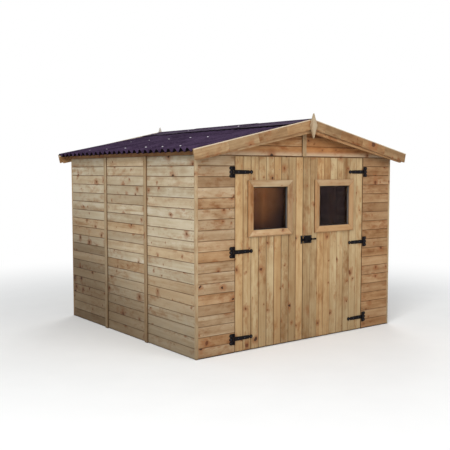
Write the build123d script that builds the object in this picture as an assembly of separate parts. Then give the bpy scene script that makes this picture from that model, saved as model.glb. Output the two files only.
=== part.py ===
"""A timber garden shed with a low gable roof, a pair of glazed doors and a sliding pad bolt.

Millimetres. +Z is up, +X runs to the right along the front, and the doors face -Y. The origin is on the
ground, in the middle of the footprint. Boards are modelled as slabs of their real thickness, nailed to a
frame of studs and rails, and every piece is a solid of its own.
"""
from build123d import *
import math
import os

# ---- Walls ----
wall_width = 2415.0          # over the boards of the two side walls
wall_depth = 2358.0          # over the boards of the front and back walls
wall_height = 1710.0         # ground to the top of the side walls
board_thickness = 12.0       # every boarded wall, gable and door
panels_per_wall = 3          # the side and back walls are bolted up from equal panels
panel_gap = 2.0              # between neighbouring panels, under the cover strips
stud_width = 45.0
stud_depth = 28.0            # how far the framing stands in from the boards
strip_width = 46.0           # cover strips over the panel joints
strip_thickness = 14.0
corner_batten = 24.0         # square battens that stand in the four corners, flush with the boards

# ---- Doorway and doors ----
doorway_width = 1605.0
hinge_side_gap = 5.0         # door edge to the doorway's side
meeting_gap = 6.0            # between the two doors
door_bottom_gap = 5.5        # under the doors
door_top_gap = 7.0           # doors to the gable above them
frame_clearance = 5.0        # back of the door boards to the threshold and the head
ledge_height = 90.0
ledge_depth = 28.0
ledge_end_gap = 12.0         # ledges stop short of the door's edges
low_ledge_up = 117.0         # middle of the low ledge, above the door's bottom edge
middle_ledge_down = 171.0    # middle of the middle ledge, below the window's hole
top_ledge_down = 134.0       # middle of the top ledge, below the door's top edge

# ---- Windows, one in the middle of each door's width ----
window_down = 265.0          # upper edge of the clear glass, below the door's top edge
glass_width = 400.0          # clear glass
glass_height = 377.0
moulding_width = 60.0
moulding_depth = 20.0        # how far the moulding stands out from the door
moulding_bevel = 9.0
mitre_gap = 0.4              # between the four lengths of moulding, and between the lining's boards
lining_thickness = 10.0      # boards that line the hole in the door, behind the moulding
pane_set_back = 20.0         # pane's face, behind the door's face: the lining's depth
pane_lap = 7.0               # how far the pane runs behind the lining
pane_thickness = 3.0

# ---- Hinges, three a door, level with its ledges ----
hinge_from_opening = 5.5     # pin centre, outside the doorway's side
knuckle_stand_off = 1.0      # knuckles, in front of the wall's face
pin_radius = 3.5
pin_clearance = 0.1
knuckle_radius = 6.0
knuckle_height = 96.0        # all the knuckles of a hinge
strap_knuckle_height = 34.0
knuckle_end_gap = 0.5
hinge_plate_width = 51.0
hinge_plate_height = 98.0
hinge_plate_thickness = 3.0
hinge_lobe_radius = 16.0
strap_length = 196.0         # from the door's edge to the end of the round tip
strap_root_width = 36.0
strap_shoulder_width = 32.0
strap_shoulder = 28.0        # the strap narrows this far before the middle of its round tip
strap_neck = 18.0            # and has its narrow width from here
strap_neck_width = 20.0
strap_tip_radius = 17.0
strap_thickness = 4.0
strap_relief = 1.0           # the strap's back is cut away where it passes over the wall

# ---- Pad bolt ----
bolt_down = 56.0             # middle of the bolt, below the window moulding
bolt_plate_start = 7.0       # near edge of the plate, from the middle of the shed
bolt_plate_width = 100.0
bolt_plate_height = 72.0
bolt_plate_thickness = 3.0
keeper_start = 10.0
keeper_width = 21.0
keeper_height = 74.0
rod_radius = 6.0
knob_stand_off = 1.0         # knob to the face of the plates
rod_clearance = 0.5          # rod to its guides
keeper_clearance = 2.0       # rod to the keeper's loop
loop_wall = 4.0
loop_length = 12.0           # each guide, along the rod
near_guide_inset = 5.0       # guides to the plate's ends
far_guide_inset = 11.0
rod_tip = 8.0                # tip of the withdrawn rod, from the middle of the shed
rod_tail = 33.0              # how far the rod runs past the plate, without its knob
knob_radius = 8.0
knob_length = 15.0
lug_gap = 4.0                # thumb lug to the far guide
lug_width = 10.0
lug_drop = 24.0
lug_thickness = 6.0

# ---- Roof ----
roof_pitch = 11.65           # degrees, of the sheets
purlin_seat_height = 40.0    # the eaves purlins' outer faces, above the walls
purlin_width = 45.0
purlin_depth = 45.0
middle_purlin_at = 700.0     # centre of the middle purlins, from the ridge
sheet_clearance = 0.3        # between the purlins and the sheets
wave_pitch = 95.0
wave_height = 35.0           # over the crests, with the sheet's thickness
wave_flank = 48.0            # degrees, slope of the straight flanks
sheet_thickness = 3.0
eaves_overhang = 94.5        # wall face to the eaves edge of the sheets
sheet_ridge_gap = 12.0       # upper edge of the sheets, from the ridge line
cap_wing = 255.0             # ridge cap, from the ridge to its lower edge, level
cap_clearance = 0.3          # between the crests and the cap
cap_roll_half = 60.0         # the cap's rounded ridge, from the middle to where the flat wings start
cap_roll_rise = 14.0         # top of the rounded ridge, above the line of the wings
gable_overhang = 119.0       # wall face to the bargeboards' faces
bargeboard_depth = 90.0
bargeboard_thickness = 18.0
bargeboard_past_sheets = 4.0  # bargeboards' ends, past the sheets' eaves edges
peak_stand = 47.0            # bargeboards' top, above the sheets' undersides, at the ridge
eaves_stand = 23.0           # the same at the bargeboards' ends
sheet_end_gap = 1.0          # sheets and cap to the backs of the bargeboards
rafter_depth = 70.0
rafter_thickness = 28.0
rafter_short = 36.0          # end rafters stop short of the bargeboards' ends
rafter_drop = 6.0            # rafters' top, below the sheets' undersides
finial_width = 80.0
finial_thickness = 18.0
finial_above = 51.0          # finial tip, above the bargeboards' peak
finial_shoulder = 57.0       # its widest level, below the peak
finial_below = 175.0         # its lower tip, below the peak

# ---- Places worked out from the sizes above ----
side = wall_width / 2
front = -wall_depth / 2
inner_side = side - board_thickness
inner_front = front + board_thickness
frame_side = inner_side - stud_depth
frame_front = inner_front + stud_depth
doorway = doorway_width / 2
pitch = math.radians(roof_pitch)
sheet_reach = side + eaves_overhang
bargeboard_reach = sheet_reach + bargeboard_past_sheets
bargeboard_face = front - gable_overhang
bargeboard_back = bargeboard_face + bargeboard_thickness
rafter_back = bargeboard_back + rafter_thickness
sheet_end = -bargeboard_back - sheet_end_gap
gable_drop = sheet_clearance + purlin_depth


def roof_line(x, drop=0.0):
    """Height at x of the line that lies `drop` square below the sheets' undersides."""
    return wall_height + purlin_seat_height + (side - abs(x)) * math.tan(pitch) - drop / math.cos(pitch)


ridge_seat = roof_line(purlin_width / 2, gable_drop)
bargeboard_peak = roof_line(0) + peak_stand
bargeboard_end = roof_line(bargeboard_reach) + eaves_stand
bargeboard_pitch = math.atan((bargeboard_peak - bargeboard_end) / bargeboard_reach)


# ---- Helpers ----
def block(x0, x1, y0, y1, z0, z1):
    """A box between two corners."""
    return Pos((x0 + x1) / 2, (y0 + y1) / 2, (z0 + z1) / 2) * Box(abs(x1 - x0), abs(y1 - y0), abs(z1 - z0))


def prism(outline, y0, y1):
    """An outline of (x, z) corners, run from y0 to y1."""
    face = make_face(Polyline([(x, y0, z) for x, z in outline], close=True))
    return extrude(face, abs(y1 - y0), dir=(0, math.copysign(1, y1 - y0), 0))


def disc(x, z, radius, y0, y1):
    """A round plate at (x, z), from y0 to y1."""
    return Pos(x, (y0 + y1) / 2, z) * Rot(90, 0, 0) * Cylinder(radius, abs(y1 - y0))


def post(x, y, radius, z0, z1):
    """An upright cylinder."""
    return Pos(x, y, (z0 + z1) / 2) * Cylinder(radius, z1 - z0)


def other_side(piece):
    """The same piece on the other side of the middle."""
    return mirror(piece, about=Plane.YZ)


def other_end(piece):
    """The same piece at the back instead of the front."""
    return mirror(piece, about=Plane.XZ)


def both_sides(pieces):
    return pieces + [other_side(piece) for piece in pieces]


def both_ends(pieces):
    return pieces + [other_end(piece) for piece in pieces]


def below_roof(drop):
    """All the space on the left below the line that lies `drop` square under the sheets."""
    far = 2 * side
    outline = [(0, roof_line(0, drop)),
               (-far, roof_line(far, drop)),
               (-far, -wall_height),
               (0, -wall_height)]
    return prism(outline, front, -front)


def save(node, *pieces):
    """One file for one named node, which may hold several separate solids."""
    solids = [solid for piece in pieces for solid in piece.solids()]
    export_step(Compound(solids), f"parts/{node}.step")


# ---- Walls: boards, cover strips and corner battens ----
def panel_spans(start, end, count):
    """The two edges of each of `count` equal panels, with half a gap off at each joint."""
    pitch_along = (end - start) / count
    spans = []
    for index in range(count):
        low = start + index * pitch_along + (panel_gap / 2 if index > 0 else 0)
        high = start + (index + 1) * pitch_along - (panel_gap / 2 if index < count - 1 else 0)
        spans.append((low, high))
    return spans


def joints(spans):
    """The middle of the gap between each two neighbouring panels."""
    return [(one[1] + two[0]) / 2 for one, two in zip(spans, spans[1:])]


side_spans = panel_spans(front + corner_batten, -front - corner_batten, panels_per_wall)
back_spans = panel_spans(corner_batten - side, side - corner_batten, panels_per_wall)


def wall_boards():
    left = [block(-side, -inner_side, low, high, 0, wall_height) for low, high in side_spans]
    back = [block(low, high, -inner_front, -front, 0, wall_height) for low, high in back_spans]
    front_left = block(corner_batten - side, -doorway, front, inner_front, 0, wall_height)
    save("left_wall_panels", *left)
    save("right_wall_panels", *[other_side(piece) for piece in left])
    save("back_wall_panels", *back)
    save("front_left_panel", front_left)
    save("front_right_panel", other_side(front_left))


def gable_boards():
    """Two halves of the front gable, up to the undersides of the purlins, and the same at the back."""
    half = block(purlin_width - side, -panel_gap / 2, front, inner_front, wall_height, ridge_seat)
    halves = both_sides([half & below_roof(gable_drop)])
    save("front_gable", *halves)
    save("back_gable", *[other_end(half) for half in halves])


def strips_and_battens():
    half = strip_width / 2
    left = [block(-side - strip_thickness, -side, joint - half, joint + half, 0, wall_height)
            for joint in joints(side_spans)]
    back = [block(joint - half, joint + half, -front, -front + strip_thickness, 0, wall_height)
            for joint in joints(back_spans)]
    gable = block(-half, half, front - strip_thickness, front, wall_height, roof_line(half, gable_drop))
    batten = block(-side, corner_batten - side, front, front + corner_batten, 0, wall_height)
    save("wall_cover_strips", *both_sides(left), *back)
    save("gable_cover_strips", *both_ends([gable]))
    save("corner_battens", *both_ends(both_sides([batten])))


# ---- Framing behind the boards ----
def upright_edges(low, high, with_middle):
    """The low edges of a panel's studs: one at each end, and one in the middle of a wide panel."""
    edges = [low, high - stud_width]
    if with_middle:
        edges.append((low + high - stud_width) / 2)
    return edges


def wall_framing():
    """Each panel has a stud at both ends, rails between them, and a middle stud between the rails."""
    studs, low_rails, top_rails = [], [], []
    rail_levels = ((0, stud_width, low_rails), (wall_height - stud_width, wall_height, top_rails))
    for low, high in side_spans:
        for edge in upright_edges(low, high, True):
            full = edge in (low, high - stud_width)
            bottom = 0 if full else stud_width
            stud = block(-inner_side, -frame_side, edge, edge + stud_width, bottom, wall_height - bottom)
            studs += both_sides([stud])
        for bottom, top, rails in rail_levels:
            rail = block(-inner_side, -frame_side, low + stud_width, high - stud_width, bottom, top)
            rails += both_sides([rail])
    corner = frame_side - panel_gap
    inner_spans = [(max(low, -corner), min(high, corner)) for low, high in back_spans]
    for low, high in inner_spans:
        for edge in upright_edges(low, high, True):
            full = edge in (low, high - stud_width)
            bottom = 0 if full else stud_width
            studs.append(block(edge, edge + stud_width, -frame_front, -inner_front, bottom,
                               wall_height - bottom))
        for bottom, top, rails in rail_levels:
            rails.append(block(low + stud_width, high - stud_width, -frame_front, -inner_front, bottom, top))
    for edge in upright_edges(-corner, -doorway, False):
        stud = block(edge, edge + stud_width, inner_front, frame_front, 0, wall_height)
        studs += both_sides([stud])
    for bottom, top, rails in rail_levels:
        rail = block(-corner + stud_width, -doorway - stud_width, inner_front, frame_front, bottom, top)
        rails += both_sides([rail])
    save("wall_studs", *studs)
    save("bottom_rails", *low_rails)
    save("top_rails", *top_rails)


def gable_framing():
    """A post under the ridge purlin, and a sloping rafter each side of it, on the inside of each gable."""
    half = purlin_width / 2
    post_piece = block(-half, half, inner_front, frame_front, wall_height, ridge_seat)
    rafter = block(purlin_width - side, -half, inner_front, frame_front, wall_height, ridge_seat)
    rafter = (rafter & below_roof(gable_drop)) - below_roof(gable_drop + stud_width)
    save("gable_posts", *both_ends([post_piece]))
    save("gable_rafters", *both_ends(both_sides([rafter])))


def doorway_framing():
    """A low threshold and a head between the door posts, which the closed doors stop against."""
    low = inner_front + frame_clearance
    high = low + stud_depth
    save("door_threshold", block(-doorway, doorway, low, high, 0, stud_width))
    save("door_head", block(-doorway, doorway, low, high, wall_height - stud_width, wall_height))


# ---- Roof ----
def purlins():
    """Eaves purlins on the side walls, one purlin halfway up each slope, and one along the ridge."""
    inner = side - purlin_width
    eaves = prism([(-side, wall_height),
                   (-inner, wall_height),
                   (-inner, roof_line(inner, sheet_clearance)),
                   (-side, roof_line(side, sheet_clearance))], rafter_back, -rafter_back)
    middle = block(-purlin_width / 2, purlin_width / 2, rafter_back, -rafter_back, -gable_drop,
                   -sheet_clearance)
    middle = Pos(-middle_purlin_at, 0, roof_line(middle_purlin_at)) * Rot(0, -roof_pitch, 0) * middle
    half = purlin_width / 2
    ridge = block(-half, half, rafter_back, -rafter_back, ridge_seat, roof_line(half, sheet_clearance))
    save("eaves_purlins", *both_sides([eaves]))
    save("middle_purlins", *both_sides([middle]))
    save("ridge_purlin", ridge)


def sloping_board(start, reach, peak, angle, depth, y0, y1):
    """A board sloping down to the left from `peak` at the middle, plumb at its top, square at its foot."""
    foot = (-reach, peak - reach * math.tan(angle))
    heel = (foot[0] + depth * math.sin(angle), foot[1] - depth * math.cos(angle))
    top = peak - start * math.tan(angle)
    return prism([(-start, top), foot, heel, (-start, top - depth / math.cos(angle))], y0, y1)


def gable_trim():
    """End rafters behind the bargeboards, the four bargeboards, and a pointed finial at each peak."""
    rafter = sloping_board(panel_gap / 2, bargeboard_reach - rafter_short, roof_line(0, rafter_drop), pitch,
                           rafter_depth, bargeboard_back, rafter_back)
    save("end_rafters", *both_ends(both_sides([rafter])))
    board = sloping_board(0, bargeboard_reach, bargeboard_peak, bargeboard_pitch, bargeboard_depth,
                          bargeboard_face, bargeboard_back)
    save("front_left_bargeboard", board)
    save("front_right_bargeboard", other_side(board))
    save("back_left_bargeboard", other_end(board))
    save("back_right_bargeboard", other_side(other_end(board)))
    half = finial_width / 2
    shoulder = bargeboard_peak - finial_shoulder
    finial = prism([(0, bargeboard_peak + finial_above),
                    (half, shoulder),
                    (0, bargeboard_peak - finial_below),
                    (-half, shoulder)], bargeboard_face, bargeboard_face - finial_thickness)
    save("front_finial", finial)
    save("back_finial", other_end(finial))


def wave_edge(offset, pitch_along, count, corner_height, radius):
    """One face of the corrugated sheet: a zigzag whose corners are rounded to the crests and troughs.

    `offset` is the height above the sheet's middle layer, square to the flanks.
    """
    start = -count * pitch_along / 2
    lift = offset / math.cos(math.radians(wave_flank))
    corners = [(start + pitch_along * (0.25 + 0.5 * index), corner_height * (-1) ** index + lift)
               for index in range(2 * count)]
    radii = [radius + offset * (-1) ** index for index in range(2 * count)]
    ends = [(start, lift), (-start, lift)]
    return FilletPolyline(ends[0], *corners, ends[1], radius=radii)


def roof_sheets():
    """Corrugated sheets on both slopes, each slope as one sheet, with the waves running up the slope."""
    count = round(2 * sheet_end / wave_pitch)
    pitch_along = 2 * sheet_end / count
    flank = math.radians(wave_flank)
    rise = (wave_height - sheet_thickness) / 2
    corner_height = pitch_along / 4 * math.tan(flank)
    radius = (corner_height - rise) / (1 / math.cos(flank) - 1)
    upper = wave_edge(sheet_thickness / 2, pitch_along, count, corner_height, radius)
    lower = wave_edge(-sheet_thickness / 2, pitch_along, count, corner_height, radius)
    ends = [Line(upper @ 0, lower @ 0), Line(upper @ 1, lower @ 1)]
    profile = Pos(0, wave_height / 2, 0) * make_face(Curve() + [upper, lower] + ends)
    down_slope = (-math.cos(pitch), 0, -math.sin(pitch))
    upper_edge = Plane(origin=(-sheet_ridge_gap, 0, roof_line(sheet_ridge_gap)), x_dir=(0, -1, 0),
                       z_dir=down_slope)
    length = (sheet_reach - sheet_ridge_gap) / math.cos(pitch)
    left = extrude(upper_edge * profile, length, dir=down_slope)
    save("left_roof_sheets", left)
    save("right_roof_sheets", other_side(left))


def cap_edge(lift):
    """One face of the cap, `lift` above the sheets: a flat wing each side of a rounded ridge."""
    def point(x, z):
        return (x, -sheet_end, z)

    foot = (cap_wing + lift * math.sin(pitch), roof_line(cap_wing) + lift * math.cos(pitch))
    shoulder = (cap_roll_half, roof_line(cap_roll_half, -lift))
    top = roof_line(0, -lift) + cap_roll_rise
    roll = ThreePointArc(point(-shoulder[0], shoulder[1]), point(0, top), point(*shoulder))
    return [Line(point(-foot[0], foot[1]), roll @ 0), roll, Line(roll @ 1, point(*foot))]


def ridge_cap():
    """A cap that stands on the crests of both slopes."""
    inside = cap_edge(wave_height + cap_clearance)
    outside = cap_edge(wave_height + cap_clearance + sheet_thickness)
    ends = [Line(inside[0] @ 0, outside[0] @ 0), Line(inside[2] @ 1, outside[2] @ 1)]
    face = make_face(inside + outside + ends)
    save("ridge_cap", extrude(face, 2 * sheet_end, dir=(0, 1, 0)))


# ---- Doors ----
door_low = door_bottom_gap
door_high = wall_height - door_top_gap
door_outer = -doorway + hinge_side_gap
door_inner = -meeting_gap / 2
window_x = (door_outer + door_inner) / 2
window_top = door_high - window_down
window_bottom = window_top - glass_height
fixing_levels = (door_low + low_ledge_up,
                 window_bottom - lining_thickness - middle_ledge_down,
                 door_high - top_ledge_down)


def door_boards():
    """The left door's boards: a slab at each side of the window, and one above and one below it."""
    left = window_x - glass_width / 2 - lining_thickness
    right = window_x + glass_width / 2 + lining_thickness
    low = window_bottom - lining_thickness
    high = window_top + lining_thickness
    half = panel_gap / 2
    return [block(door_outer, left, front, inner_front, door_low, door_high),
            block(right, door_inner, front, inner_front, door_low, door_high),
            block(left + half, right - half, front, inner_front, door_low, low),
            block(left + half, right - half, front, inner_front, high, door_high)]


def door_ledges():
    """Three ledges across the back of the left door."""
    half = ledge_height / 2
    return [block(door_outer + ledge_end_gap, door_inner - ledge_end_gap, inner_front,
                  inner_front + ledge_depth, level - half, level + half) for level in fixing_levels]


def window_moulding():
    """Four mitred lengths round the left door's window, bevelled along their outer edges."""
    def length_of_moulding(clear, turn, reach):
        """One length, drawn as the bottom one and turned about the window's middle."""
        inner_half = clear / 2
        outer_half = inner_half + moulding_width
        cut = mitre_gap / math.sqrt(2)
        outline = [(-inner_half + cut, -reach), (inner_half - cut, -reach),
                   (outer_half - cut, -reach - moulding_width), (-outer_half + cut, -reach - moulding_width)]
        bar = prism(outline, front, front - moulding_depth)
        outer_edge = bar.faces().sort_by(Axis.Y)[0].edges().sort_by(Axis.Z)[0]
        bar = chamfer(outer_edge, moulding_bevel)
        return Pos(window_x, 0, window_bottom + glass_height / 2) * Rot(0, turn, 0) * bar

    return [length_of_moulding(glass_width, 0, glass_height / 2),
            length_of_moulding(glass_width, 180, glass_height / 2),
            length_of_moulding(glass_height, 90, glass_width / 2),
            length_of_moulding(glass_height, -90, glass_width / 2)]


def window_lining():
    """Boards on the four sides of the hole: the upper and lower ones run the hole's whole width."""
    inner = glass_width / 2
    outer = inner + lining_thickness
    back = front + pane_set_back
    left = block(window_x - outer, window_x - inner, front, back, window_bottom + mitre_gap,
                 window_top - mitre_gap)
    right = block(window_x + inner, window_x + outer, front, back, window_bottom + mitre_gap,
                  window_top - mitre_gap)
    upper = block(window_x - outer, window_x + outer, front, back, window_top, window_top + lining_thickness)
    lower = block(window_x - outer, window_x + outer, front, back, window_bottom - lining_thickness,
                  window_bottom)
    return [left, right, upper, lower]


def window_pane():
    half = glass_width / 2 + pane_lap
    face = front + pane_set_back
    return block(window_x - half, window_x + half, face, face + pane_thickness,
                 window_bottom - pane_lap, window_top + pane_lap)


pin_x = -doorway - hinge_from_opening
pin_y = front - knuckle_stand_off - knuckle_radius


def hinge_plate(level):
    """The wall half of a hinge: a lobed plate, its two knuckles and the pin."""
    outer = pin_x - hinge_plate_width
    half = hinge_plate_height / 2
    back, face = front, front - hinge_plate_thickness
    lobe_row = outer + hinge_lobe_radius
    plate = block(lobe_row, pin_x, face, back, level - half, level + half)
    for step in (-1, 0, 1):
        plate += disc(lobe_row, level + step * (half - hinge_lobe_radius), hinge_lobe_radius, face, back)
    top, low = knuckle_height / 2, strap_knuckle_height / 2 + knuckle_end_gap
    plate -= block(pin_x - knuckle_radius - knuckle_end_gap, pin_x, face, back, level - low, level + low)
    for sign in (-1, 1):
        ends = sorted((level + sign * low, level + sign * top))
        plate += post(pin_x, pin_y, knuckle_radius, *ends)
        plate += block(pin_x - knuckle_radius, pin_x, pin_y, back, *ends)
    return plate + post(pin_x, pin_y, pin_radius, level - top, level + top)


def hinge_strap(level):
    """The door half of a hinge: a knuckle round the pin, and a strap with a short neck and a round tip."""
    half = strap_knuckle_height / 2
    back, face = front, front - strap_thickness
    root = door_outer
    tip = door_outer + strap_length - strap_tip_radius
    edge = [(root, strap_root_width / 2), (tip - strap_shoulder, strap_shoulder_width / 2),
            (tip - strap_neck, strap_neck_width / 2), (tip, strap_neck_width / 2)]
    strap = prism([(x, level - half_width) for x, half_width in edge]
                  + [(x, level + half_width) for x, half_width in reversed(edge)], back, face)
    strap += disc(tip, level, strap_tip_radius, face, back)
    strap += block(pin_x, root, face, back - strap_relief, level - half, level + half)
    strap += post(pin_x, pin_y, knuckle_radius, level - half, level + half)
    return strap - post(pin_x, pin_y, pin_radius + pin_clearance, level - half, level + half)


bolt_level = window_bottom - moulding_width - bolt_down
bolt_plate_end = bolt_plate_start + bolt_plate_width
far_guide = bolt_plate_end - far_guide_inset - loop_length
rod_y = front - bolt_plate_thickness - knob_stand_off - knob_radius


def rod_loop(low_x, clearance):
    """A square loop that stands on a bolt plate and holds the rod."""
    hole = rod_radius + clearance
    outer = hole + loop_wall
    back = front - bolt_plate_thickness
    loop = block(low_x, low_x + loop_length, rod_y - outer, back, bolt_level - outer, bolt_level + outer)
    return loop - block(low_x - 1, low_x + loop_length + 1, rod_y - hole, back, bolt_level - hole,
                        bolt_level + hole)


def bolt_plate():
    """The plate on the right door, with the two loops that guide the rod."""
    half = bolt_plate_height / 2
    plate = block(bolt_plate_start, bolt_plate_end, front - bolt_plate_thickness, front, bolt_level - half,
                  bolt_level + half)
    for guide in (bolt_plate_start + near_guide_inset, far_guide):
        plate += rod_loop(guide, rod_clearance)
    return plate


def bolt_keeper():
    """The plate on the left door, with the loop that the rod slides into."""
    half = keeper_height / 2
    end = -keeper_start - keeper_width
    plate = block(end, -keeper_start, front - bolt_plate_thickness, front, bolt_level - half,
                  bolt_level + half)
    return plate + rod_loop(end + (keeper_width - loop_length) / 2, keeper_clearance)


def bolt_rod():
    """The sliding rod, with a knob at its tail and a thumb lug under it."""
    def round_bar(start, length, radius):
        return Pos(start + length / 2, rod_y, bolt_level) * Rot(0, 90, 0) * Cylinder(radius, length)

    rod_end = bolt_plate_end + rod_tail
    lug_end = far_guide - lug_gap
    rod = round_bar(rod_tip, rod_end - rod_tip, rod_radius) + round_bar(rod_end, knob_length, knob_radius)
    return rod + block(lug_end - lug_width, lug_end, rod_y - lug_thickness / 2, rod_y + lug_thickness / 2,
                       bolt_level - lug_drop, bolt_level)


def doors():
    left_door = {"door_boards": door_boards(),
                 "door_ledges": door_ledges(),
                 "window_frame": window_moulding(),
                 "window_lining": window_lining(),
                 "window_glass": [window_pane()],
                 "hinge_straps": [hinge_strap(level) for level in fixing_levels],
                 "hinge_plates": [hinge_plate(level) for level in fixing_levels]}
    for name, pieces in left_door.items():
        save("left_" + name, *pieces)
        save("right_" + name, *[other_side(piece) for piece in pieces])
    save("latch_keeper", bolt_keeper())
    save("latch_plate", bolt_plate())
    save("latch_bolt", bolt_rod())


os.makedirs("parts", exist_ok=True)
wall_boards()
gable_boards()
strips_and_battens()
wall_framing()
gable_framing()
doorway_framing()
purlins()
gable_trim()
roof_sheets()
ridge_cap()
doors()
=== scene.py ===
# %% [markdown]
# # A timber garden shed, dressed for rendering
# The shed's sizes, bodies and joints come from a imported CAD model. Here each plain CAD slab is replaced
# by the boards that a joiner would nail up, the framing gets softened edges, and every surface gets a
# material made of nodes. Nothing else is read from disk, so the script gives the same shed each time.

# %% Load the frame
import math
import random

import bmesh
import bpy
from mathutils import Matrix, Vector


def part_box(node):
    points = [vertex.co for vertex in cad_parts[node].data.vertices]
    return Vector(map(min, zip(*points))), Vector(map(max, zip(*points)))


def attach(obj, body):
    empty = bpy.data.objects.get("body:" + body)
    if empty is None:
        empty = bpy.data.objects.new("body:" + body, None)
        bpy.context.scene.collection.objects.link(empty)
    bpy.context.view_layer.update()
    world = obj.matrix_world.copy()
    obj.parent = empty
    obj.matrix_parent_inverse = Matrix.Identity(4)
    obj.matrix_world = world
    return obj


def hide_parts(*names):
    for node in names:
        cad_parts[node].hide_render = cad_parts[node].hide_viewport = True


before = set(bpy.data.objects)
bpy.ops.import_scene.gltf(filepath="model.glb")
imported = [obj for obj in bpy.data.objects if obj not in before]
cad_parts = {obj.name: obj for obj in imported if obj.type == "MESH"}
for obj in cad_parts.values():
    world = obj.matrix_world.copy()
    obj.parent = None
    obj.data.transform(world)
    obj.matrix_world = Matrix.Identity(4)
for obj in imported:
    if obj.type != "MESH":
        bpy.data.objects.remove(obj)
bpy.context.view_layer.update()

X, Y, Z = Vector((1, 0, 0)), Vector((0, 1, 0)), Vector((0, 0, 1))
ROOF_SLOPE = math.radians(11.65)
roof_low, roof_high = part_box("left_roof_sheets")
GABLE_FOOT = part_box("front_gable")[0].z
SIDES = (("left", 1), ("right", -1))       # a door's hand, and the way along X from its hinges

# %% [markdown]
# ## Camera
# A visitor stands off the front left corner and looks a little down, from ordinary eye height. A long
# lens from that far away keeps the uprights nearly parallel, which suits a building.


# %% Camera
def new_object(name, data):
    """Puts a camera, a lamp or a mesh into the scene, at the origin."""
    thing = bpy.data.objects.new(name, data)
    bpy.context.collection.objects.link(thing)
    return thing


camera_data = bpy.data.cameras.new("camera")
camera_data.lens = 57.01
camera_data.sensor_width = 36.0
camera = new_object("camera", camera_data)
camera.location = (-4.535, -5.9952, 1.5726)
camera.rotation_euler = (math.radians(85.714), 0.0, math.radians(-37.009))
bpy.context.scene.camera = camera
print("camera stands", round(camera.location.xy.length, 2), "m from the middle of the shed")

# %% [markdown]
# ## Node helpers
# A material is a small graph. Writing a graph out longhand hides what it does, so short helpers add a
# node, do sums, mix two colours, and make noise and bumps.


# %% Helpers for node graphs
def add(tree, kind, inputs=(), **settings):
    """Adds a node, sets its options, and fills its inputs with values or with other nodes' outputs."""
    node = tree.nodes.new(kind)
    for option, value in settings.items():
        setattr(node, option, value)
    for socket, value in dict(inputs).items():
        if isinstance(value, bpy.types.NodeSocket):
            tree.links.new(value, node.inputs[socket])
        else:
            node.inputs[socket].default_value = value
    return node


def arithmetic(tree, operation, a, b):
    return add(tree, "ShaderNodeMath", {0: a, 1: b}, operation=operation).outputs[0]


def times(tree, a, b):
    return arithmetic(tree, "MULTIPLY", a, b)


def plus(tree, a, b):
    return arithmetic(tree, "ADD", a, b)


def vector_arithmetic(tree, operation, a, b):
    return add(tree, "ShaderNodeVectorMath", {0: a, 1: b}, operation=operation).outputs[0]


def fade(tree, value, start, end, low=0.0, high=1.0):
    """A smooth step from `low` at `start` to `high` at `end`."""
    node = add(tree, "ShaderNodeMapRange", {0: value, 1: start, 2: end, 3: low, 4: high},
               interpolation_type="SMOOTHSTEP")
    return node.outputs[0]


print("helpers for sums ready")

# %% [markdown]
# Colours are easiest to choose as a painter would, from 0 to 255, but a shader wants them linear. The
# three most used tricks are a mix of two colours, one colour multiplied by another, which works like a
# glaze, and noise on the Object coordinates, which stays put on the shed however its parts are cut.


# %% Helpers for colour and noise
def paint(red, green, blue):
    """A colour on a 0 to 255 scale, as the linear colour that a shader wants."""
    linear = [(c / 255 / 12.92) if c < 11 else ((c / 255 + 0.055) / 1.055) ** 2.4
              for c in (red, green, blue)]
    return (*linear, 1.0)


def blend_colours(tree, amount, a, b, mode="MIX"):
    """One colour over another. Sockets 6 and 7 are the colour inputs of the Mix node."""
    node = add(tree, "ShaderNodeMix", {0: amount, 6: a, 7: b}, data_type="RGBA", blend_type=mode)
    return node.outputs[2]


def glazed(tree, colour, tint):
    """A colour under a thin `tint`, which darkens or warms it."""
    return blend_colours(tree, 1.0, colour, tint, "MULTIPLY")


def object_place(tree):
    """A point's place on the whole shed, in metres."""
    return add(tree, "ShaderNodeTexCoord").outputs["Object"]


def noise(tree, place, scale, detail, roughness=0.5):
    """Cloudy noise, mostly between 0.3 and 0.7."""
    return add(tree, "ShaderNodeTexNoise", {"Vector": place, "Scale": scale, "Detail": detail,
                                            "Roughness": roughness}).outputs[0]


def new_material(name):
    """A material with only a Principled shader in it."""
    material = bpy.data.materials.new(name)
    material.use_nodes = True
    tree = material.node_tree
    return material, tree, tree.nodes["Principled BSDF"]


def add_bumps(tree, shader, height, strength, depth):
    """Lets `height` tilt the surface, as bumps `depth` metres deep would."""
    bump = add(tree, "ShaderNodeBump", {"Height": height, "Strength": strength, "Distance": depth})
    tree.links.new(bump.outputs[0], shader.inputs["Normal"])


print("helpers for colour and noise ready")

# %% [markdown]
# ## Sky
# The shed is lit by a dim, even, slightly blue sky. A ray that reaches the sky straight from the camera,
# or by way of metal or glass, meets plain white instead, so the background is white and the shed's light
# doesn't depend on it.


# %% Sky
def looked_at(tree):
    """1 for a ray that shows things to the camera, straight or by way of metal or glass."""
    rays = add(tree, "ShaderNodeLightPath")
    shown = arithmetic(tree, "MAXIMUM", rays.outputs["Is Camera Ray"], rays.outputs["Is Glossy Ray"])
    return arithmetic(tree, "MAXIMUM", shown, rays.outputs["Is Transmission Ray"])


SKY_STRENGTH = 0.45

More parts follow.
